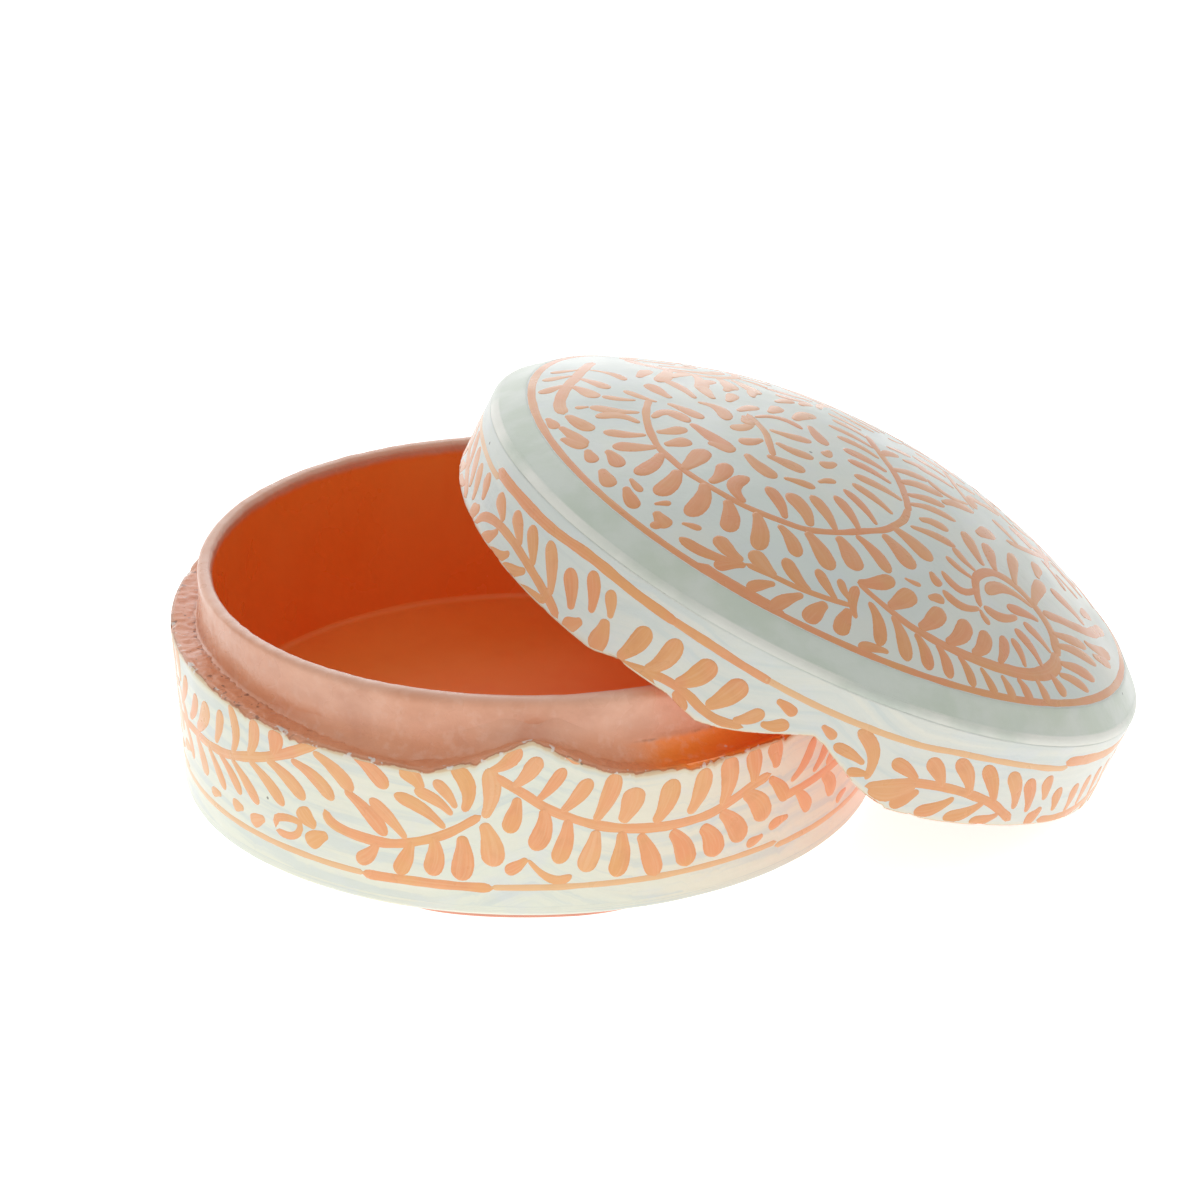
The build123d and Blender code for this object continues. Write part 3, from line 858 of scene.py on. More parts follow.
class Brush:
    """Strokes of paint on one surface, gathered into one mesh. A stroke is a thin closed lens."""

    def __init__(self, surface, deepness):
        self.surface = surface
        self.deepness = deepness
        self.points = []
        self.faces = []
        self.paint = []

    def stroke(self, line, widths, lift, tone):
        """One stroke along a line of flat points, as wide at each point as widths says."""
        first = len(self.points)
        columns = len(ACROSS)
        for step, centre in enumerate(line):
            ahead = line[min(step + 1, len(line) - 1)] - line[max(step - 1, 0)]
            side = Vector((-ahead.y, ahead.x)).normalized()
            for across in ACROSS:
                along_edge = Vector((centre.x, centre.y, STROKE_SPREAD * across)) * STROKE_FINENESS
                ragged = STROKE_RAGGED * noise.noise(along_edge)
                spot = centre + side * across * (widths[step] / 2) * (1 + ragged)
                rise = lift * (1 - across**4) - PAINT_SINK * across**4
                self.points.append(self.surface(spot, rise))
                self.paint.append((across, step / (len(line) - 1), tone))
        for step in range(len(line) - 1):
            here = first + step * columns
            there = here + columns
            for column in range(columns - 1):
                self.faces.append((here + column, there + column, there + column + 1, here + column + 1))
            self.faces.append((here, here + columns - 1, there + columns - 1, there))
        self.faces.append(tuple(range(first, first + columns)))
        self.faces.append(tuple(range(first + (len(line) - 1) * columns, first + len(line) * columns)))

    def leaf(self, width, points, bend):
        """Leaf with a narrow root and a round tip, through a given bend or bent by a share of its length."""
        root = points[0]
        tip = points[-1]
        middle = (root + tip) / 2
        if len(points) == 3:
            pull = 2 * points[1] - middle
        else:
            pull = middle + Vector((root.y - tip.y, tip.x - root.x)) * bend
        line = []
        widths = []
        for turn in span(0, pi, LEAF_ROWS):
            share = (1 - cos(turn)) / 2
            line.append(root * (1 - share) ** 2 + pull * 2 * share * (1 - share) + tip * share**2)
            widths.append(max(LEAST_WIDTH, LEAF_FULLNESS * width * leaf_width(share)))
        lift = PAINT_THICK * dice.uniform(*LEAF_LIFTS)
        self.stroke(line, widths, lift, LEAF_PALEST * dice.random() ** LEAF_TONE_POWER)

    def stem(self, line, first_width, last_width, thin=False):
        """Long stroke with rounded ends, in full or in thin paint."""
        widths = []
        for step, point in enumerate(line):
            width = blend(first_width, last_width, step / (len(line) - 1))
            from_end = min((point - line[0]).length, (point - line[-1]).length)
            rounding = sqrt(1 - max(0.0, 1 - from_end / width) ** 2)
            waver = STEM_WAVER * noise.noise(Vector((point.x, point.y, STEM_SEED)) * STEM_FINENESS)
            widths.append(max(LEAST_WIDTH, width * (1 + waver) * rounding))
        self.stroke(line, widths, PAINT_THICK, THIN_TONE if thin else STEM_PALEST * dice.random())

    def spray(self, widths, stem, leaves, lay):
        """Stem with its leaves, which bow away from the stem's far end. A thin bare stem is in thin paint."""
        line = smooth_line(lay(stem), STEM_STEP)
        self.stem(line, *widths, not leaves and widths[0] < THIN_LINE)
        for width, *points in leaves:
            points = lay(points)
            nearest = min(range(len(line) - 1), key=lambda step: (line[step] - points[0]).length)
            ahead = line[nearest + 1] - line[nearest]
            along = points[-1] - points[0]
            side = 1 if ahead.x * along.y > ahead.y * along.x else -1
            self.leaf(width, points, -side * LEAF_BEND * dice.uniform(*LEAF_BENDS))

    def fill(self, sprays, dabs, lay):
        """Sprays and dabs, laid out on the surface by lay."""
        for spray in sprays:
            self.spray(*spray, lay)
        for width, *points in dabs:
            self.leaf(width, lay(points), LEAF_BEND * dice.uniform(-1, 1))

    def piece(self, name, body, place=None):
        """The strokes as one object."""
        points = [place @ point for point in self.points] if place else self.points
        return make_piece(name, points, self.faces, body, [self.deepness] * len(points), self.paint)


def leaf_width(share):
    """Width of a leaf along it, as a share of its greatest width."""
    swell = blend(ROOT_WIDTH, 1, smooth(share / SWELL_TO))
    tip = sqrt(max(0.0, 1 - max(0.0, (share - TIP_FROM) / (1 - TIP_FROM)) ** 2))
    root = sqrt(1 - max(0.0, 1 - share / ROOT_TO) ** 2)
    return swell * tip * root


def smooth_line(points, step):
    """Points about a step apart on a smooth curve through the given flat points."""
    padded = [2 * points[0] - points[1]] + points + [2 * points[-1] - points[-2]]
    line = []
    for a, b, c, d in zip(padded, padded[1:], padded[2:], padded[3:]):
        count = max(2, round((c - b).length / step))
        for share in span(0, 1, count + 1)[:-1]:
            pull = (c - a) * share + (2 * a - 5 * b + 4 * c - d) * share**2 + (3 * b - a - 3 * c + d) * share**3
            line.append(b + pull / 2)
    return line + [points[-1]]


def banded(surface, low, high):
    """Paint surface for a band round the box: flat points are arc length and height, held to the band."""
    def paint_surface(spot, rise):
        angle = spot.x / side_r
        return surface(angle, min(max(spot.y, low(angle)), high(angle)), rise)
    return paint_surface


def on_band(start, level, depth, shift):
    """Way to lay angles past start and heights on a band, turned by shift and fitted to its depth there."""
    def lay(points):
        laid = []
        for angle, height in points:
            drawn = radians(angle + start)
            turned_to = drawn + radians(shift)
            laid.append(Vector((turned_to * side_r, level + height * depth(turned_to) / depth(drawn))))
        return laid
    return lay


def on_dome(about):
    """Way to lay flat points on the dome, as they are drawn for 1 and turned by half a circle for -1."""
    return lambda points: [Vector(point) * about for point in points]


def paint_wall():
    """Sprays and ring line on the base."""
    surface = banded(wall_surface, lambda angle: WALL_PAINT_LOW,
                     lambda angle: torn_cut(angle) - WALL_PAINT_CLEAR)
    brush = Brush(surface, 0.0)
    for shift in WALL_SHIFTS:
        brush.fill(WALL_SPRAYS, WALL_DABS, on_band(FRONT, 0, torn_cut, shift))
    return brush.piece("wall_scrolls", "base")


def side_depth(angle):
    """Height of the lid's ring line above the lid's edge at an angle."""
    return SIDE_LEVEL - lid_edge(angle)


def paint_side():
    """Sprays and ring line on the lid's side."""
    surface = banded(side_surface, lambda angle: lid_edge(angle) + SIDE_PAINT_CLEAR,
                     lambda angle: ridge_z - RIDGE_PAINT_CLEAR)
    brush = Brush(surface, LID_SIDE_PAINT)
    for shift, first_spray, first_shift in SIDE_SHIFTS:
        brush.spray(*first_spray, on_band(0, SIDE_LEVEL, side_depth, first_shift))
        brush.fill(SIDE_SPRAYS, SIDE_DABS, on_band(0, SIDE_LEVEL, side_depth, shift))
    return brush.piece("lid_side_scrolls", "lid", lid_matrix)


def paint_dome():
    """Sprays and border line on the dome. The back is laid out as the front is, turned by half a circle."""
    brush = Brush(lambda spot, rise: dome_surface(spot.x, spot.y, rise), LID_PAINT)
    for about in (1, -1):
        brush.fill([BIG_SPRAY, SMALL_SPRAY] + BORDER_SPRAYS, DOME_DABS, on_dome(about))
    brush.fill(FRONT_SPRAYS + [BACK_SPRAY], FRONT_DABS + BACK_DABS, on_dome(1))
    for first, last, inset, width in DOME_RING_STROKES:
        angles = [radians(angle) for angle in range(first, last + 1, DOME_RING_STEP)]
        ring = [round_point(DOME_RING_R - inset, angle, 0).to_2d() for angle in angles]
        brush.stem(ring, width, width)
    return brush.piece("dome_scrolls", "lid", lid_matrix)


# Materials


def colour(red, green, blue):
    """Colour for a socket, from how it shows on a screen, 0 to 255."""
    shares = [value / 255 for value in (red, green, blue)]
    linear = [((share + 0.055) / 1.055) ** 2.4 if share > 0.04045 else share / 12.92 for share in shares]
    return (*linear, 1.0)


BASE_WHITES = (colour(233, 237, 221), colour(240, 236, 215))
# The lid's white: greyer than the base's, and painted darker as shade of the less lit lid
SHADED_LID_WHITES = (colour(222, 231, 224), colour(229, 230, 219))
# Painted shade: greys for the lid's sloping shoulder
SHADED_SHOULDER_GREYS = (colour(199, 211, 193), colour(214, 222, 211))
BRUSHED_GREY = colour(210, 220, 216)
BRUSHED_CREAM = colour(244, 241, 224)
BLUISH_WHITE = colour(222, 228, 232)
# Painted highlight along the lid's ridge
RIDGE_HIGHLIGHT_WHITE = colour(244, 244, 234)
EDGE_CREAM = colour(238, 222, 184)
EDGE_TAN = colour(220, 178, 128)
DARK_FLECK = colour(70, 62, 52)
FLAKE_WHITE = colour(238, 234, 226)
CUT_BROWN = colour(158, 98, 58)
TORN_BROWN = colour(186, 116, 84)
# Painted shade for the corner between the ledge and the collar
CORNER_SHADE_BROWN = colour(150, 90, 62)
PIT_BROWN = colour(96, 52, 34)
PALE_CORALS = (colour(232, 164, 128), colour(240, 184, 154))
DEEP_CORALS = (colour(224, 146, 104), colour(230, 160, 120))
SHEET_CORALS = (colour(224, 152, 130), colour(236, 174, 152))
WORN_CORAL = colour(196, 120, 84)
CORAL_BLOOM = colour(248, 204, 180)
CORAL_SMUDGE = colour(190, 120, 84)
PALE_FLECK = colour(250, 226, 212)
CRACK_BROWN = colour(126, 58, 28)
DULL_RIM = colour(204, 158, 136)
# Painted highlight along the front of the collar's rim
RIM_HIGHLIGHT_PINK = colour(252, 210, 192)
# Painted bounce light: orange reflected from the lid's inside into the recess under its edge
BOUNCED_ORANGE = colour(253, 146, 58)
ORANGES = (colour(255, 136, 50), colour(255, 148, 64))
ORANGE_STREAK = colour(247, 116, 34)
ORANGE_FLECK = colour(150, 60, 24)
PEACHES = (colour(242, 162, 108), colour(236, 172, 104))
PALE_PEACH = colour(246, 188, 134)
PATCHY_PEACH = colour(222, 152, 96)
THIN_PEACH = colour(236, 200, 150)
HAIR_PEACH = colour(248, 204, 158)
POOLED_PEACH = colour(228, 142, 80)
LID_PEACH = colour(206, 118, 62)
WHITE = (1.0, 1.0, 1.0, 1.0)

# Where orange is painted beside the tooth as bounce light from the lid's orange inside, in the recess under its
# edge, and where the ledge is rough and the rim is dull
ORANGE_FROM = radians(FRONT + 19)
ORANGE_TO = radians(FRONT + 75)
ORANGE_FADE = radians(12)
ROUGH_X = (-30 * MM, -42 * MM)
DULL_Y = (-10 * MM, 20 * MM)

# Noise waves in the width of one patch, and the full middle of a fleck as a share of it
PATCH_WAVES = 0.6
FLECK_CORE = 0.6


class Nodes:
    """A tree of nodes under construction."""

    def __init__(self, tree):
        self.tree = tree

    def fill(self, made, inputs):
        """Give a node its inputs, which are values or sockets to link."""
        for key, value in inputs.items():
            if isinstance(value, bpy.types.NodeSocket):
                self.tree.links.new(value, made.inputs[key])
            else:
                made.inputs[key].default_value = value

    def node(self, kind, inputs=None, **settings):
        """New node with inputs and settings."""
        made = self.tree.nodes.new(kind)
        for name, value in settings.items():
            setattr(made, name, value)
        self.fill(made, inputs or {})
        return made

    def ramp(self, value, low, high, to_low=0.0, to_high=1.0):
        """Value eased from one range to another."""
        inputs = {0: value, 1: low, 2: high, 3: to_low, 4: to_high}
        return self.node("ShaderNodeMapRange", inputs, interpolation_type="SMOOTHSTEP").outputs[0]

    def math(self, operation, first, second=0.0, third=0.0):
        """Sum, product or other of two or three values."""
        return self.node("ShaderNodeMath", {0: first, 1: second, 2: third}, operation=operation).outputs[0]

    def both(self, first, second):
        """Product of two values: where both are high."""
        return self.math("MULTIPLY", first, second)

    def vector(self, operation, first, second, third=(0, 0, 0)):
        """Node that works on vectors."""
        return self.node("ShaderNodeVectorMath", {0: first, 1: second, 2: third}, operation=operation)

    def parts(self, vector):
        """The three numbers of a vector."""
        return self.node("ShaderNodeSeparateXYZ", {0: vector}).outputs


class Finish(Nodes):
    """A material under construction."""

    def __init__(self, name):
        self.material = bpy.data.materials.new(name)
        self.material.use_nodes = True
        super().__init__(self.material.node_tree)
        self.shader = self.tree.nodes["Principled BSDF"]
        self.place = self.node("ShaderNodeTexCoord").outputs["Object"]

    def attribute(self, name, output):
        """Value stored on the mesh."""
        return self.node("ShaderNodeAttribute", attribute_name=name).outputs[output]

    def noise(self, vector, scale, detail):
        """Random value from 0 to 1."""
        return self.node("ShaderNodeTexNoise", {"Vector": vector, "Scale": scale, "Detail": detail}).outputs[0]

    def grain(self, size, detail=3.0, stretch=(1, 1, 1)):
        """Random value from 0 to 1 whose patches are about size millimetres wide."""
        spread = self.vector("MULTIPLY", self.place, stretch).outputs[0]
        return self.noise(spread, PATCH_WAVES / (size * MM), detail)

    def patches(self, size, low, high, detail=3.0, stretch=(1, 1, 1)):
        """Grain eased to 0 where it is low and to 1 where it is high."""
        return self.ramp(self.grain(size, detail, stretch), low, high)

    def streaks(self, zone, length, width):
        """Random value from 0 to 1 in streaks along a band, where zone tells how high in it a point is."""
        across = self.node("ShaderNodeCombineXYZ", {2: self.both(zone, PATCH_WAVES / width)}).outputs[0]
        spread = self.vector("MULTIPLY_ADD", self.place, [PATCH_WAVES / (length * MM)] * 3, across)
        return self.noise(spread.outputs[0], 1.0, 4.0)

    def flecks(self, size, radius):
        """Value that is 1 in small random spots and 0 elsewhere."""
        cells = self.node("ShaderNodeTexVoronoi", {"Vector": self.place, "Scale": 1 / (size * MM)})
        return self.ramp(cells.outputs["Distance"], radius, radius * FLECK_CORE)

    def mix(self, factor, first, second):
        """Mix of two colours."""
        return self.node("ShaderNodeMix", {0: factor, 6: first, 7: second}, data_type="RGBA").outputs[2]

    def blot(self, share, amount, tone, over):
        """Colour over another where a share is high, by an amount at most."""
        return self.mix(self.both(share, amount), over, tone)

    def bump(self, height, depth):
        """Bumps of a depth in millimetres."""
        made = self.node("ShaderNodeBump", {"Height": height, "Strength": 1.0, "Distance": depth * MM})
        self.fill(self.shader, {"Normal": made.outputs[0]})

    def finish(self, base, rough_size, rough_low, rough_high, coat, coat_roughness=0.16):
        """Join the colour and a patchy roughness to the shader, under a coat of varnish."""
        self.fill(self.shader, {
            "Base Color": base,
            "Roughness": self.ramp(self.grain(rough_size), 0.3, 0.7, rough_low, rough_high),
            "Coat Weight": coat,
            "Coat Roughness": coat_roughness,
        })
        return self.material


def white_tones(made, zone, whites):
    """Off-white ground coat: patches, brush streaks, creamy edges, painted grey-blue shade on the shoulder, a
    painted highlight along the ridge and a few dark flecks.
    """
    tone = made.mix(made.patches(22.0, 0.35, 0.68), *whites)
    brushed = made.streaks(zone, 15.0, 0.9)
    tone = made.blot(made.ramp(brushed, 0.48, 0.66), 0.6, BRUSHED_GREY, tone)
    tone = made.blot(made.ramp(brushed, 0.46, 0.3), 0.4, BRUSHED_CREAM, tone)
    tone = made.blot(made.patches(3.5, 0.5, 0.72, 6.0, (1, 1, 1.6)), 0.35, BLUISH_WHITE, tone)
    # Painted shade: mottled grey over the sloping shoulder
    shoulder_shade = made.mix(made.patches(4.0, 0.35, 0.65, 6.0), *SHADED_SHOULDER_GREYS)
    tone = made.blot(made.ramp(zone, SHOULDER - 8, SHOULDER - 3), 0.8, shoulder_shade, tone)
    # Painted highlight in patches along the ridge
    ridge = made.both(made.ramp(zone, SHOULDER + 2, RIDGE - 3), made.patches(14.0, 0.38, 0.55, 5.0))
    tone = made.blot(ridge, 0.85, RIDGE_HIGHLIGHT_WHITE, tone)
    tone = made.blot(made.ramp(zone, 1.6, 0.5), 0.6, EDGE_CREAM, tone)
    tone = made.blot(made.ramp(zone, 0.85, 0.5), 0.6, EDGE_TAN, tone)
    return made.blot(made.flecks(8.0, 0.04), 0.75, DARK_FLECK, tone)


def coral_tones(made, corals):
    """Coral lacquer of two tones in soft patches, a little worn."""
    tone = made.mix(made.patches(12.0, 0.3, 0.7), *corals)
    return made.blot(made.patches(2.4, 0.5, 0.78, 6.0), 0.25, WORN_CORAL, tone)


def under_lid_bounce(made):
    """Value that is 1 beside the tooth, where orange bounce light from the lid's inside is painted under its
    edge, and 0 elsewhere.
    """
    x, y = made.parts(made.place)[:2]
    angle = made.math("ADD", made.math("ARCTAN2", y, x), made.both(made.grain(5.0, 4.0), 0.2))
    starts = made.ramp(angle, ORANGE_FROM, ORANGE_FROM + ORANGE_FADE)
    stops = made.ramp(angle, ORANGE_TO, ORANGE_TO + ORANGE_FADE, 1.0, 0.0)
    return made.both(starts, stops)


def deep_coral_tones(made, orange):
    """Coral lacquer low on the collar and on the ledge, turning by a share to orange painted as bounce light.
    """
    return made.blot(orange, 0.95, BOUNCED_ORANGE, coral_tones(made, DEEP_CORALS))


def torn_tones(made, zone):
    """Coral lacquer over torn pulp, with painted shade in the corner by the collar, and dark pits at the rough
    side.
    """
    tone = deep_coral_tones(made, under_lid_bounce(made))
    tone = made.blot(made.patches(1.3, 0.48, 0.72, 6.0), 0.18, TORN_BROWN, tone)
    # Painted shade in the corner where the ledge meets the collar
    tone = made.blot(made.ramp(zone, -2.9, -3.6), 0.45, CORNER_SHADE_BROWN, tone)
    rough_side = made.ramp(made.parts(made.place)[0], *ROUGH_X)
    pits = made.both(made.patches(0.7, 0.6, 0.68, 4.0), rough_side)
    return made.blot(pits, 0.65, PIT_BROWN, tone)


def orange_tones(made):
    """Deep orange lacquer of the inside, laid on nearly evenly."""
    tone = made.mix(made.patches(20.0, 0.3, 0.7), *ORANGES)
    tone = made.blot(made.patches(3.0, 0.45, 0.8, 4.0, (1, 1, 0.3)), 0.2, ORANGE_STREAK, tone)
    return made.blot(made.flecks(9.0, 0.035), 0.45, ORANGE_FLECK, tone)


def ground_finish(name, whites, coat, coat_roughness):
    """White outside, a brown line and flakes along the cut, coral ledge, orange inside, as the zone says."""
    made = Finish(name)
    zone = made.attribute("zone", "Fac")
    ragged = made.math("SUBTRACT", zone, made.math("MULTIPLY_ADD", made.grain(2.0, 6.0), 2.2, -0.75))
    tone = made.mix(made.ramp(ragged, -0.1, 0.05), torn_tones(made, zone), white_tones(made, zone, whites))
    line = made.both(made.ramp(ragged, -0.45, -0.2), made.ramp(ragged, 0.1, -0.1))
    tone = made.blot(line, 0.5, CUT_BROWN, tone)
    near = made.both(made.ramp(zone, -0.9, -0.4), made.ramp(zone, 1.2, 0.4))
    tone = made.blot(made.both(near, made.patches(0.9, 0.59, 0.65, 5.0)), 0.75, FLAKE_WHITE, tone)
    tone = made.mix(made.ramp(zone, -6.0, -5.0, 1.0, 0.0), tone, orange_tones(made))
    ledge = made.both(made.grain(0.9, 5.0), made.ramp(zone, 0.0, -0.6, 0.0, 2.0))
    brushed = made.math("MULTIPLY_ADD", made.streaks(zone, 9.0, 0.7), 0.5, ledge)
    fine = made.math("MULTIPLY_ADD", made.grain(0.6, 3.0), 0.35, brushed)
    made.bump(made.math("ADD", made.grain(2.6, 4.0), fine), 0.14)
    return made.finish(tone, 6.0, 0.28, 0.44, coat, coat_roughness)


def collar_outside_tones(made, ragged):
    """Coral lacquer, deeper towards its foot, partly as painted shade of the groove there, with a broken dark
    crack above the orange bounce light painted beside the tooth.
    """
    beside = under_lid_bounce(made)
    # Painted bounce light: orange low on the collar beside the tooth
    orange = made.both(beside, made.ramp(ragged, -6.8, -7.8))
    pale = coral_tones(made, PALE_CORALS)
    # The deeper coral towards the foot is partly painted shade of the groove at the ledge
    tone = made.mix(made.ramp(ragged, -3.5, -8.0), pale, deep_coral_tones(made, orange))
    crack = made.both(made.ramp(ragged, -7.5, -7.2), made.ramp(ragged, -6.9, -7.2))
    broken = made.both(crack, made.patches(2.5, 0.48, 0.6, 4.0))
    tone = made.blot(made.both(broken, beside), 0.7, CRACK_BROWN, tone)
    tone = made.blot(made.patches(0.9, 0.5, 0.7, 4.0), 0.22, CORAL_BLOOM, tone)
    tone = made.blot(made.patches(7.0, 0.5, 0.68, 6.0, (1, 1, 2)), 0.22, CORAL_SMUDGE, tone)
    return made.blot(made.flecks(7.0, 0.05), 0.8, PALE_FLECK, tone)


def collar_finish():
    """Smudged coral outside, a rim that is dull at the back with a painted pale highlight along it in front,
    and orange within it.
    """
    made = Finish("collar_lacquer")
    zone = made.attribute("zone", "Fac")
    ragged = made.math("ADD", zone, made.math("MULTIPLY_ADD", made.grain(1.6, 4.0), -0.8, 0.4))
    tone = collar_outside_tones(made, ragged)
    back = made.ramp(made.parts(made.place)[1], *DULL_Y)
    tone = made.blot(made.both(made.ramp(zone, -1.7, -0.9), back), 0.35, DULL_RIM, tone)
    # Painted highlight: a pale line along the rim's front
    front_highlight = made.both(made.ramp(zone, -0.8, 0.4), made.math("SUBTRACT", 1.0, back))
    tone = made.blot(front_highlight, 0.6, RIM_HIGHLIGHT_PINK, tone)
    tone = made.mix(made.ramp(ragged, 1.05, 2.1), tone, orange_tones(made))
    dents = made.math("MULTIPLY_ADD", made.grain(0.7, 4.0), 0.7, made.grain(2.6, 5.0))
    made.bump(made.both(dents, made.ramp(zone, 1.2, 2.5, 1.0, 0.25)), 0.14)
    return made.finish(tone, 5.0, 0.24, 0.4, 0.25)


def inside_finish():
    """Deep orange lacquer of the floor."""
    made = Finish("inside_lacquer")
    made.bump(made.math("ADD", made.grain(5.0, 3.0), made.both(made.grain(0.9, 3.0), 0.2)), 0.08)
    return made.finish(orange_tones(made), 7.0, 0.42, 0.56, 0.08, 0.4)


def sheet_finish():
    """Coral paper under the base."""
    made = Finish("underside_paper")
    made.bump(made.grain(0.5, 4.0), 0.05)
    return made.finish(made.mix(made.grain(4.0, 5.0), *SHEET_CORALS), 3.0, 0.45, 0.6, 0.1)


def paint_finish():
    """Peach paint: streaked along the stroke, pooled and darker at its edge and tip, deeper on the lid."""
    made = Finish("peach_paint")
    across, along, tone = made.parts(made.attribute("paint", "Vector"))
    base = made.mix(made.patches(6.0, 0.4, 0.62), *PEACHES)
    base = made.blot(tone, 0.6, PALE_PEACH, base)
    base = made.blot(made.patches(1.6, 0.48, 0.72, 5.0), 0.35, PATCHY_PEACH, base)
    base = made.blot(made.ramp(tone, 0.8, 1.0), 0.6, THIN_PEACH, base)
    brushed = {0: made.both(across, 5.0), 1: made.both(along, 1.4), 2: made.both(tone, 60.0)}
    hairs = made.noise(made.node("ShaderNodeCombineXYZ", brushed).outputs[0], 1.0, 3.0)
    base = made.blot(made.ramp(hairs, 0.42, 0.7), 0.3, HAIR_PEACH, base)
    edge = made.math("ADD", made.math("ABSOLUTE", across), made.both(along, 0.2))
    base = made.blot(made.ramp(edge, 0.7, 1.15), 0.35, POOLED_PEACH, base)
    deep = made.both(made.attribute("zone", "Fac"), made.ramp(tone, 0.8, 1.0, 1.0, 0.2))
    base = made.mix(deep, base, LID_PEACH)
    made.bump(made.grain(0.9, 4.0), 0.05)
    return made.finish(base, 4.0, 0.26, 0.4, 0.3)


def dress(piece, finish, node):
    """Give a skin its finish, and let it stand for a solid."""
    piece.data.materials.append(finish)
    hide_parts(node)


def assemble():
    """Make every piece, with its finish, body and the solid that it stands for."""
    base_ground = ground_finish("base_ground", BASE_WHITES, 0.3, 0.16)
    # The lid's ground is painted darker than the base's as shade
    lid_ground = ground_finish("lid_ground", SHADED_LID_WHITES, 0.35, 0.34)
    wall = turned("base_wall_skin", "base", wall_section, WALL_SEGMENTS, True)
    dress(wall, base_ground, "base_wall")
    collar = turned("collar_skin", "base", collar_section, SEGMENTS, True)
    dress(collar, collar_finish(), "collar")
    floor = turned("floor_skin", "base", floor_section, DOME_SEGMENTS, False)
    dress(floor, inside_finish(), "floor_board")
    sheet = turned("underside_skin", "base", sheet_section, SEGMENTS, False)
    dress(sheet, sheet_finish(), "underside_sheet")
    side = turned("lid_side_skin", "lid", skirt_section, SEGMENTS, True, lid_matrix)
    dress(side, lid_ground, "lid_skirt")
    dome = turned("lid_dome_skin", "lid", dome_section, DOME_SEGMENTS, False, lid_matrix)
    dress(dome, lid_ground, "lid_dome")
    paint = paint_finish()
    for piece in (paint_wall(), paint_side(), paint_dome()):
        piece.data.materials.append(paint)


# Stage: camera, a table that glows brightest before the object, a pale tent and one soft lamp
CAMERA_AT = Vector((-92.50, -816.55, 392.97))
CAMERA_AIM = Vector((10.06, -1.27, 25.83))
CAMERA_LENS = 189.43
SENSOR_WIDTH = 36.0
SIGHT_ENDS = 20000.0
FLOOR_HALF = 3000.0
FLOOR_GAP = 0.05
FLOOR_GREY = (0.9, 0.9, 0.9, 1.0)
FLOOR_ROUGHNESS = 0.9
FLOOR_SEEN = 0.8
GLOW_CENTRE = Vector((30, -70, 0))
GLOW_NEAR_R = 60.0
GLOW_FAR_R = 260.0
GLOW_NEAR = 0.68
GLOW_FAR = 0.1
TENT_SEEN = 1.0
SIDE_LIGHT = 0.48
TOP_LIGHT = 0.55
TENT_SLOPE = Vector((-0.12, -0.15, 0))
LAMP_AT = Vector((-200, 900, 450))
LAMP_AIM = Vector((10, 0, 30))
LAMP_SIZE = 1300.0
LAMP_POWER = 4.2


def set_up(name, data, at, aim):
    """Camera or lamp at a point, looking at another."""
    placed = bpy.data.objects.new(name, data)
    placed.location = at * MM
    placed.rotation_euler = (aim - at).to_track_quat("-Z", "Y").to_euler()
    bpy.context.scene.collection.objects.link(placed)
    return placed


def place_camera():
    """Camera at the photograph's angle."""
    data = bpy.data.cameras.new("camera")
    data.lens = CAMERA_LENS
    data.sensor_fit = "HORIZONTAL"
    data.sensor_width = SENSOR_WIDTH
    data.clip_end = SIGHT_ENDS * MM
    bpy.context.scene.camera = set_up("camera", data, CAMERA_AT, CAMERA_AIM)


def place_lamp():
    """Large soft square lamp behind the box."""
    data = bpy.data.lights.new("back_lamp", "AREA")
    data.size = LAMP_SIZE * MM
    data.energy = LAMP_POWER
    set_up("back_lamp", data, LAMP_AT, LAMP_AIM)


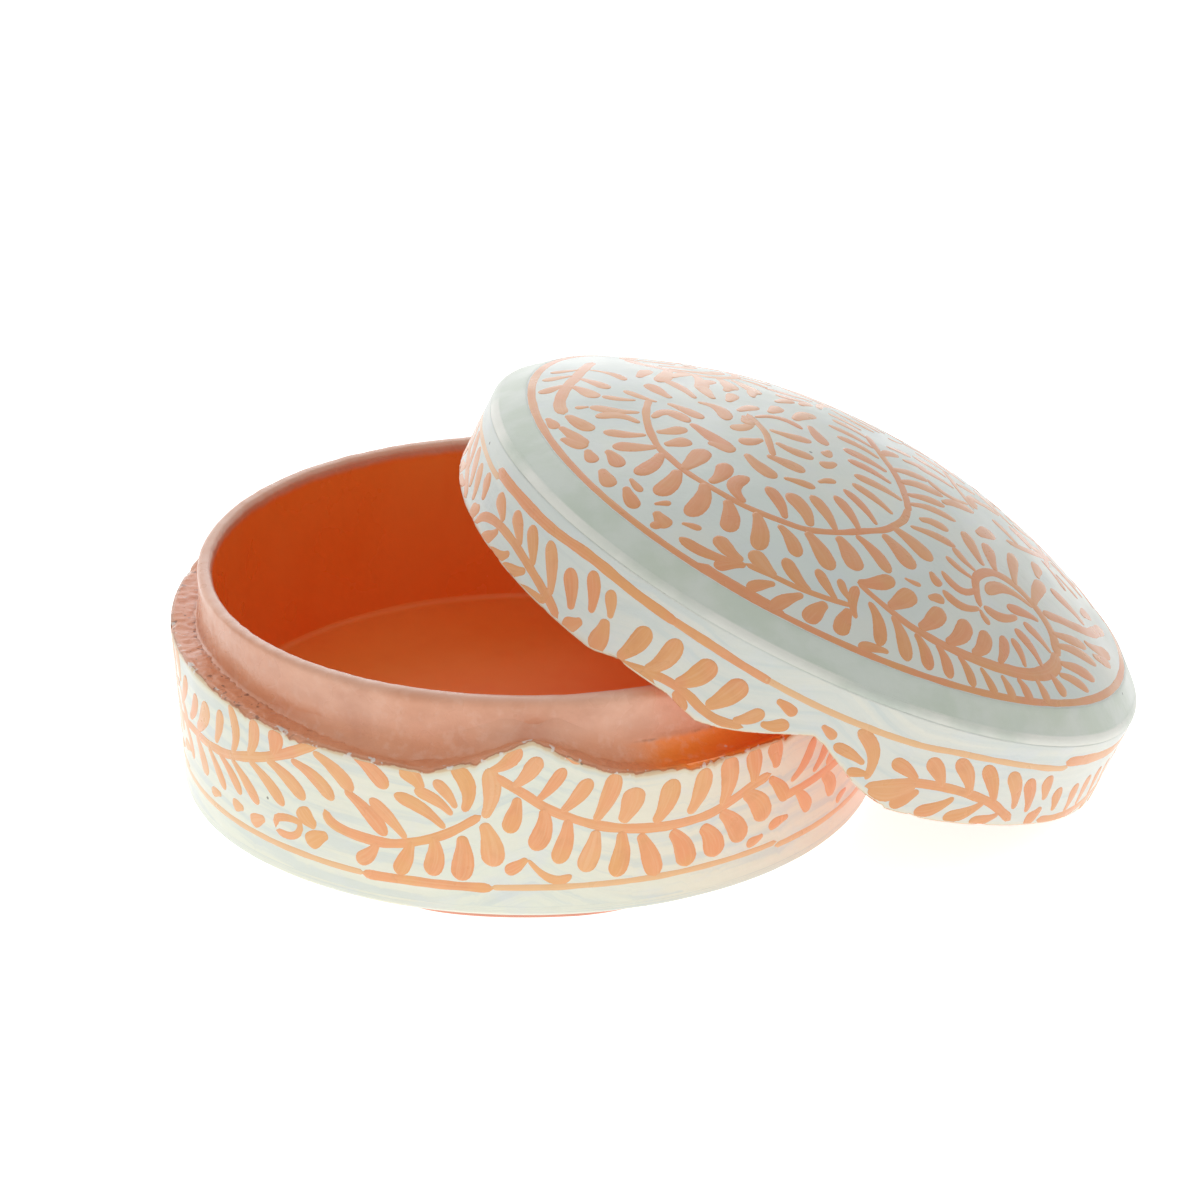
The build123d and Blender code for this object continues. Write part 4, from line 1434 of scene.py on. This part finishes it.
def seen_or_lit(nodes, seen, lit):
    """Strength that is seen for rays from the eye, straight or by gloss or glass, and lit for the rest."""
    path = nodes.node("ShaderNodeLightPath").outputs
    eye = path["Is Camera Ray"]
    for name in ("Is Glossy Ray", "Is Transmission Ray"):
        eye = nodes.math("MAXIMUM", eye, path[name])
    return nodes.node("ShaderNodeMix", {0: eye, 2: lit, 3: seen}).outputs[0]


def floor_finish():
    """Plain white table that glows."""
    material = bpy.data.materials.new("floor_white")
    material.use_nodes = True
    nodes = Nodes(material.node_tree)
    spot = nodes.node("ShaderNodeTexCoord").outputs["Object"]
    far = nodes.vector("DISTANCE", spot, GLOW_CENTRE * MM).outputs["Value"]
    glow = nodes.ramp(far, GLOW_NEAR_R * MM, GLOW_FAR_R * MM, GLOW_NEAR, GLOW_FAR)
    nodes.fill(material.node_tree.nodes["Principled BSDF"], {
        "Base Color": FLOOR_GREY,
        "Roughness": FLOOR_ROUGHNESS,
        "Emission Color": WHITE,
        "Emission Strength": seen_or_lit(nodes, FLOOR_SEEN, glow),
    })
    return material


def place_floor():
    """Plain white light table, which still takes the object's shadow."""
    mesh = bpy.data.meshes.new("floor")
    corners = [(-1, -1, 0), (1, -1, 0), (1, 1, 0), (-1, 1, 0)]
    mesh.from_pydata([Vector(corner) * FLOOR_HALF * MM for corner in corners], [], [(0, 1, 2, 3)])
    mesh.materials.append(floor_finish())
    floor = bpy.data.objects.new("floor", mesh)
    floor.location.z = -FLOOR_GAP * MM
    bpy.context.scene.collection.objects.link(floor)


def place_world():
    """Light tent: white where the eye looks, brightest overhead, dimmer to the right and the back."""
    world = bpy.data.worlds.new("tent")
    bpy.context.scene.world = world
    world.use_nodes = True
    nodes = Nodes(world.node_tree)
    way = nodes.node("ShaderNodeTexCoord").outputs["Generated"]
    level = nodes.node("ShaderNodeMapRange", {0: nodes.parts(way)[2], 3: SIDE_LIGHT, 4: TOP_LIGHT}).outputs[0]
    lit = nodes.math("ADD", nodes.vector("DOT_PRODUCT", way, TENT_SLOPE).outputs["Value"], level)
    nodes.fill(world.node_tree.nodes["Background"], {
        "Color": WHITE,
        "Strength": seen_or_lit(nodes, TENT_SEEN, lit),
    })


assemble()
place_camera()
place_floor()
place_world()
place_lamp()
bpy.context.scene.view_settings.view_transform = "Standard"
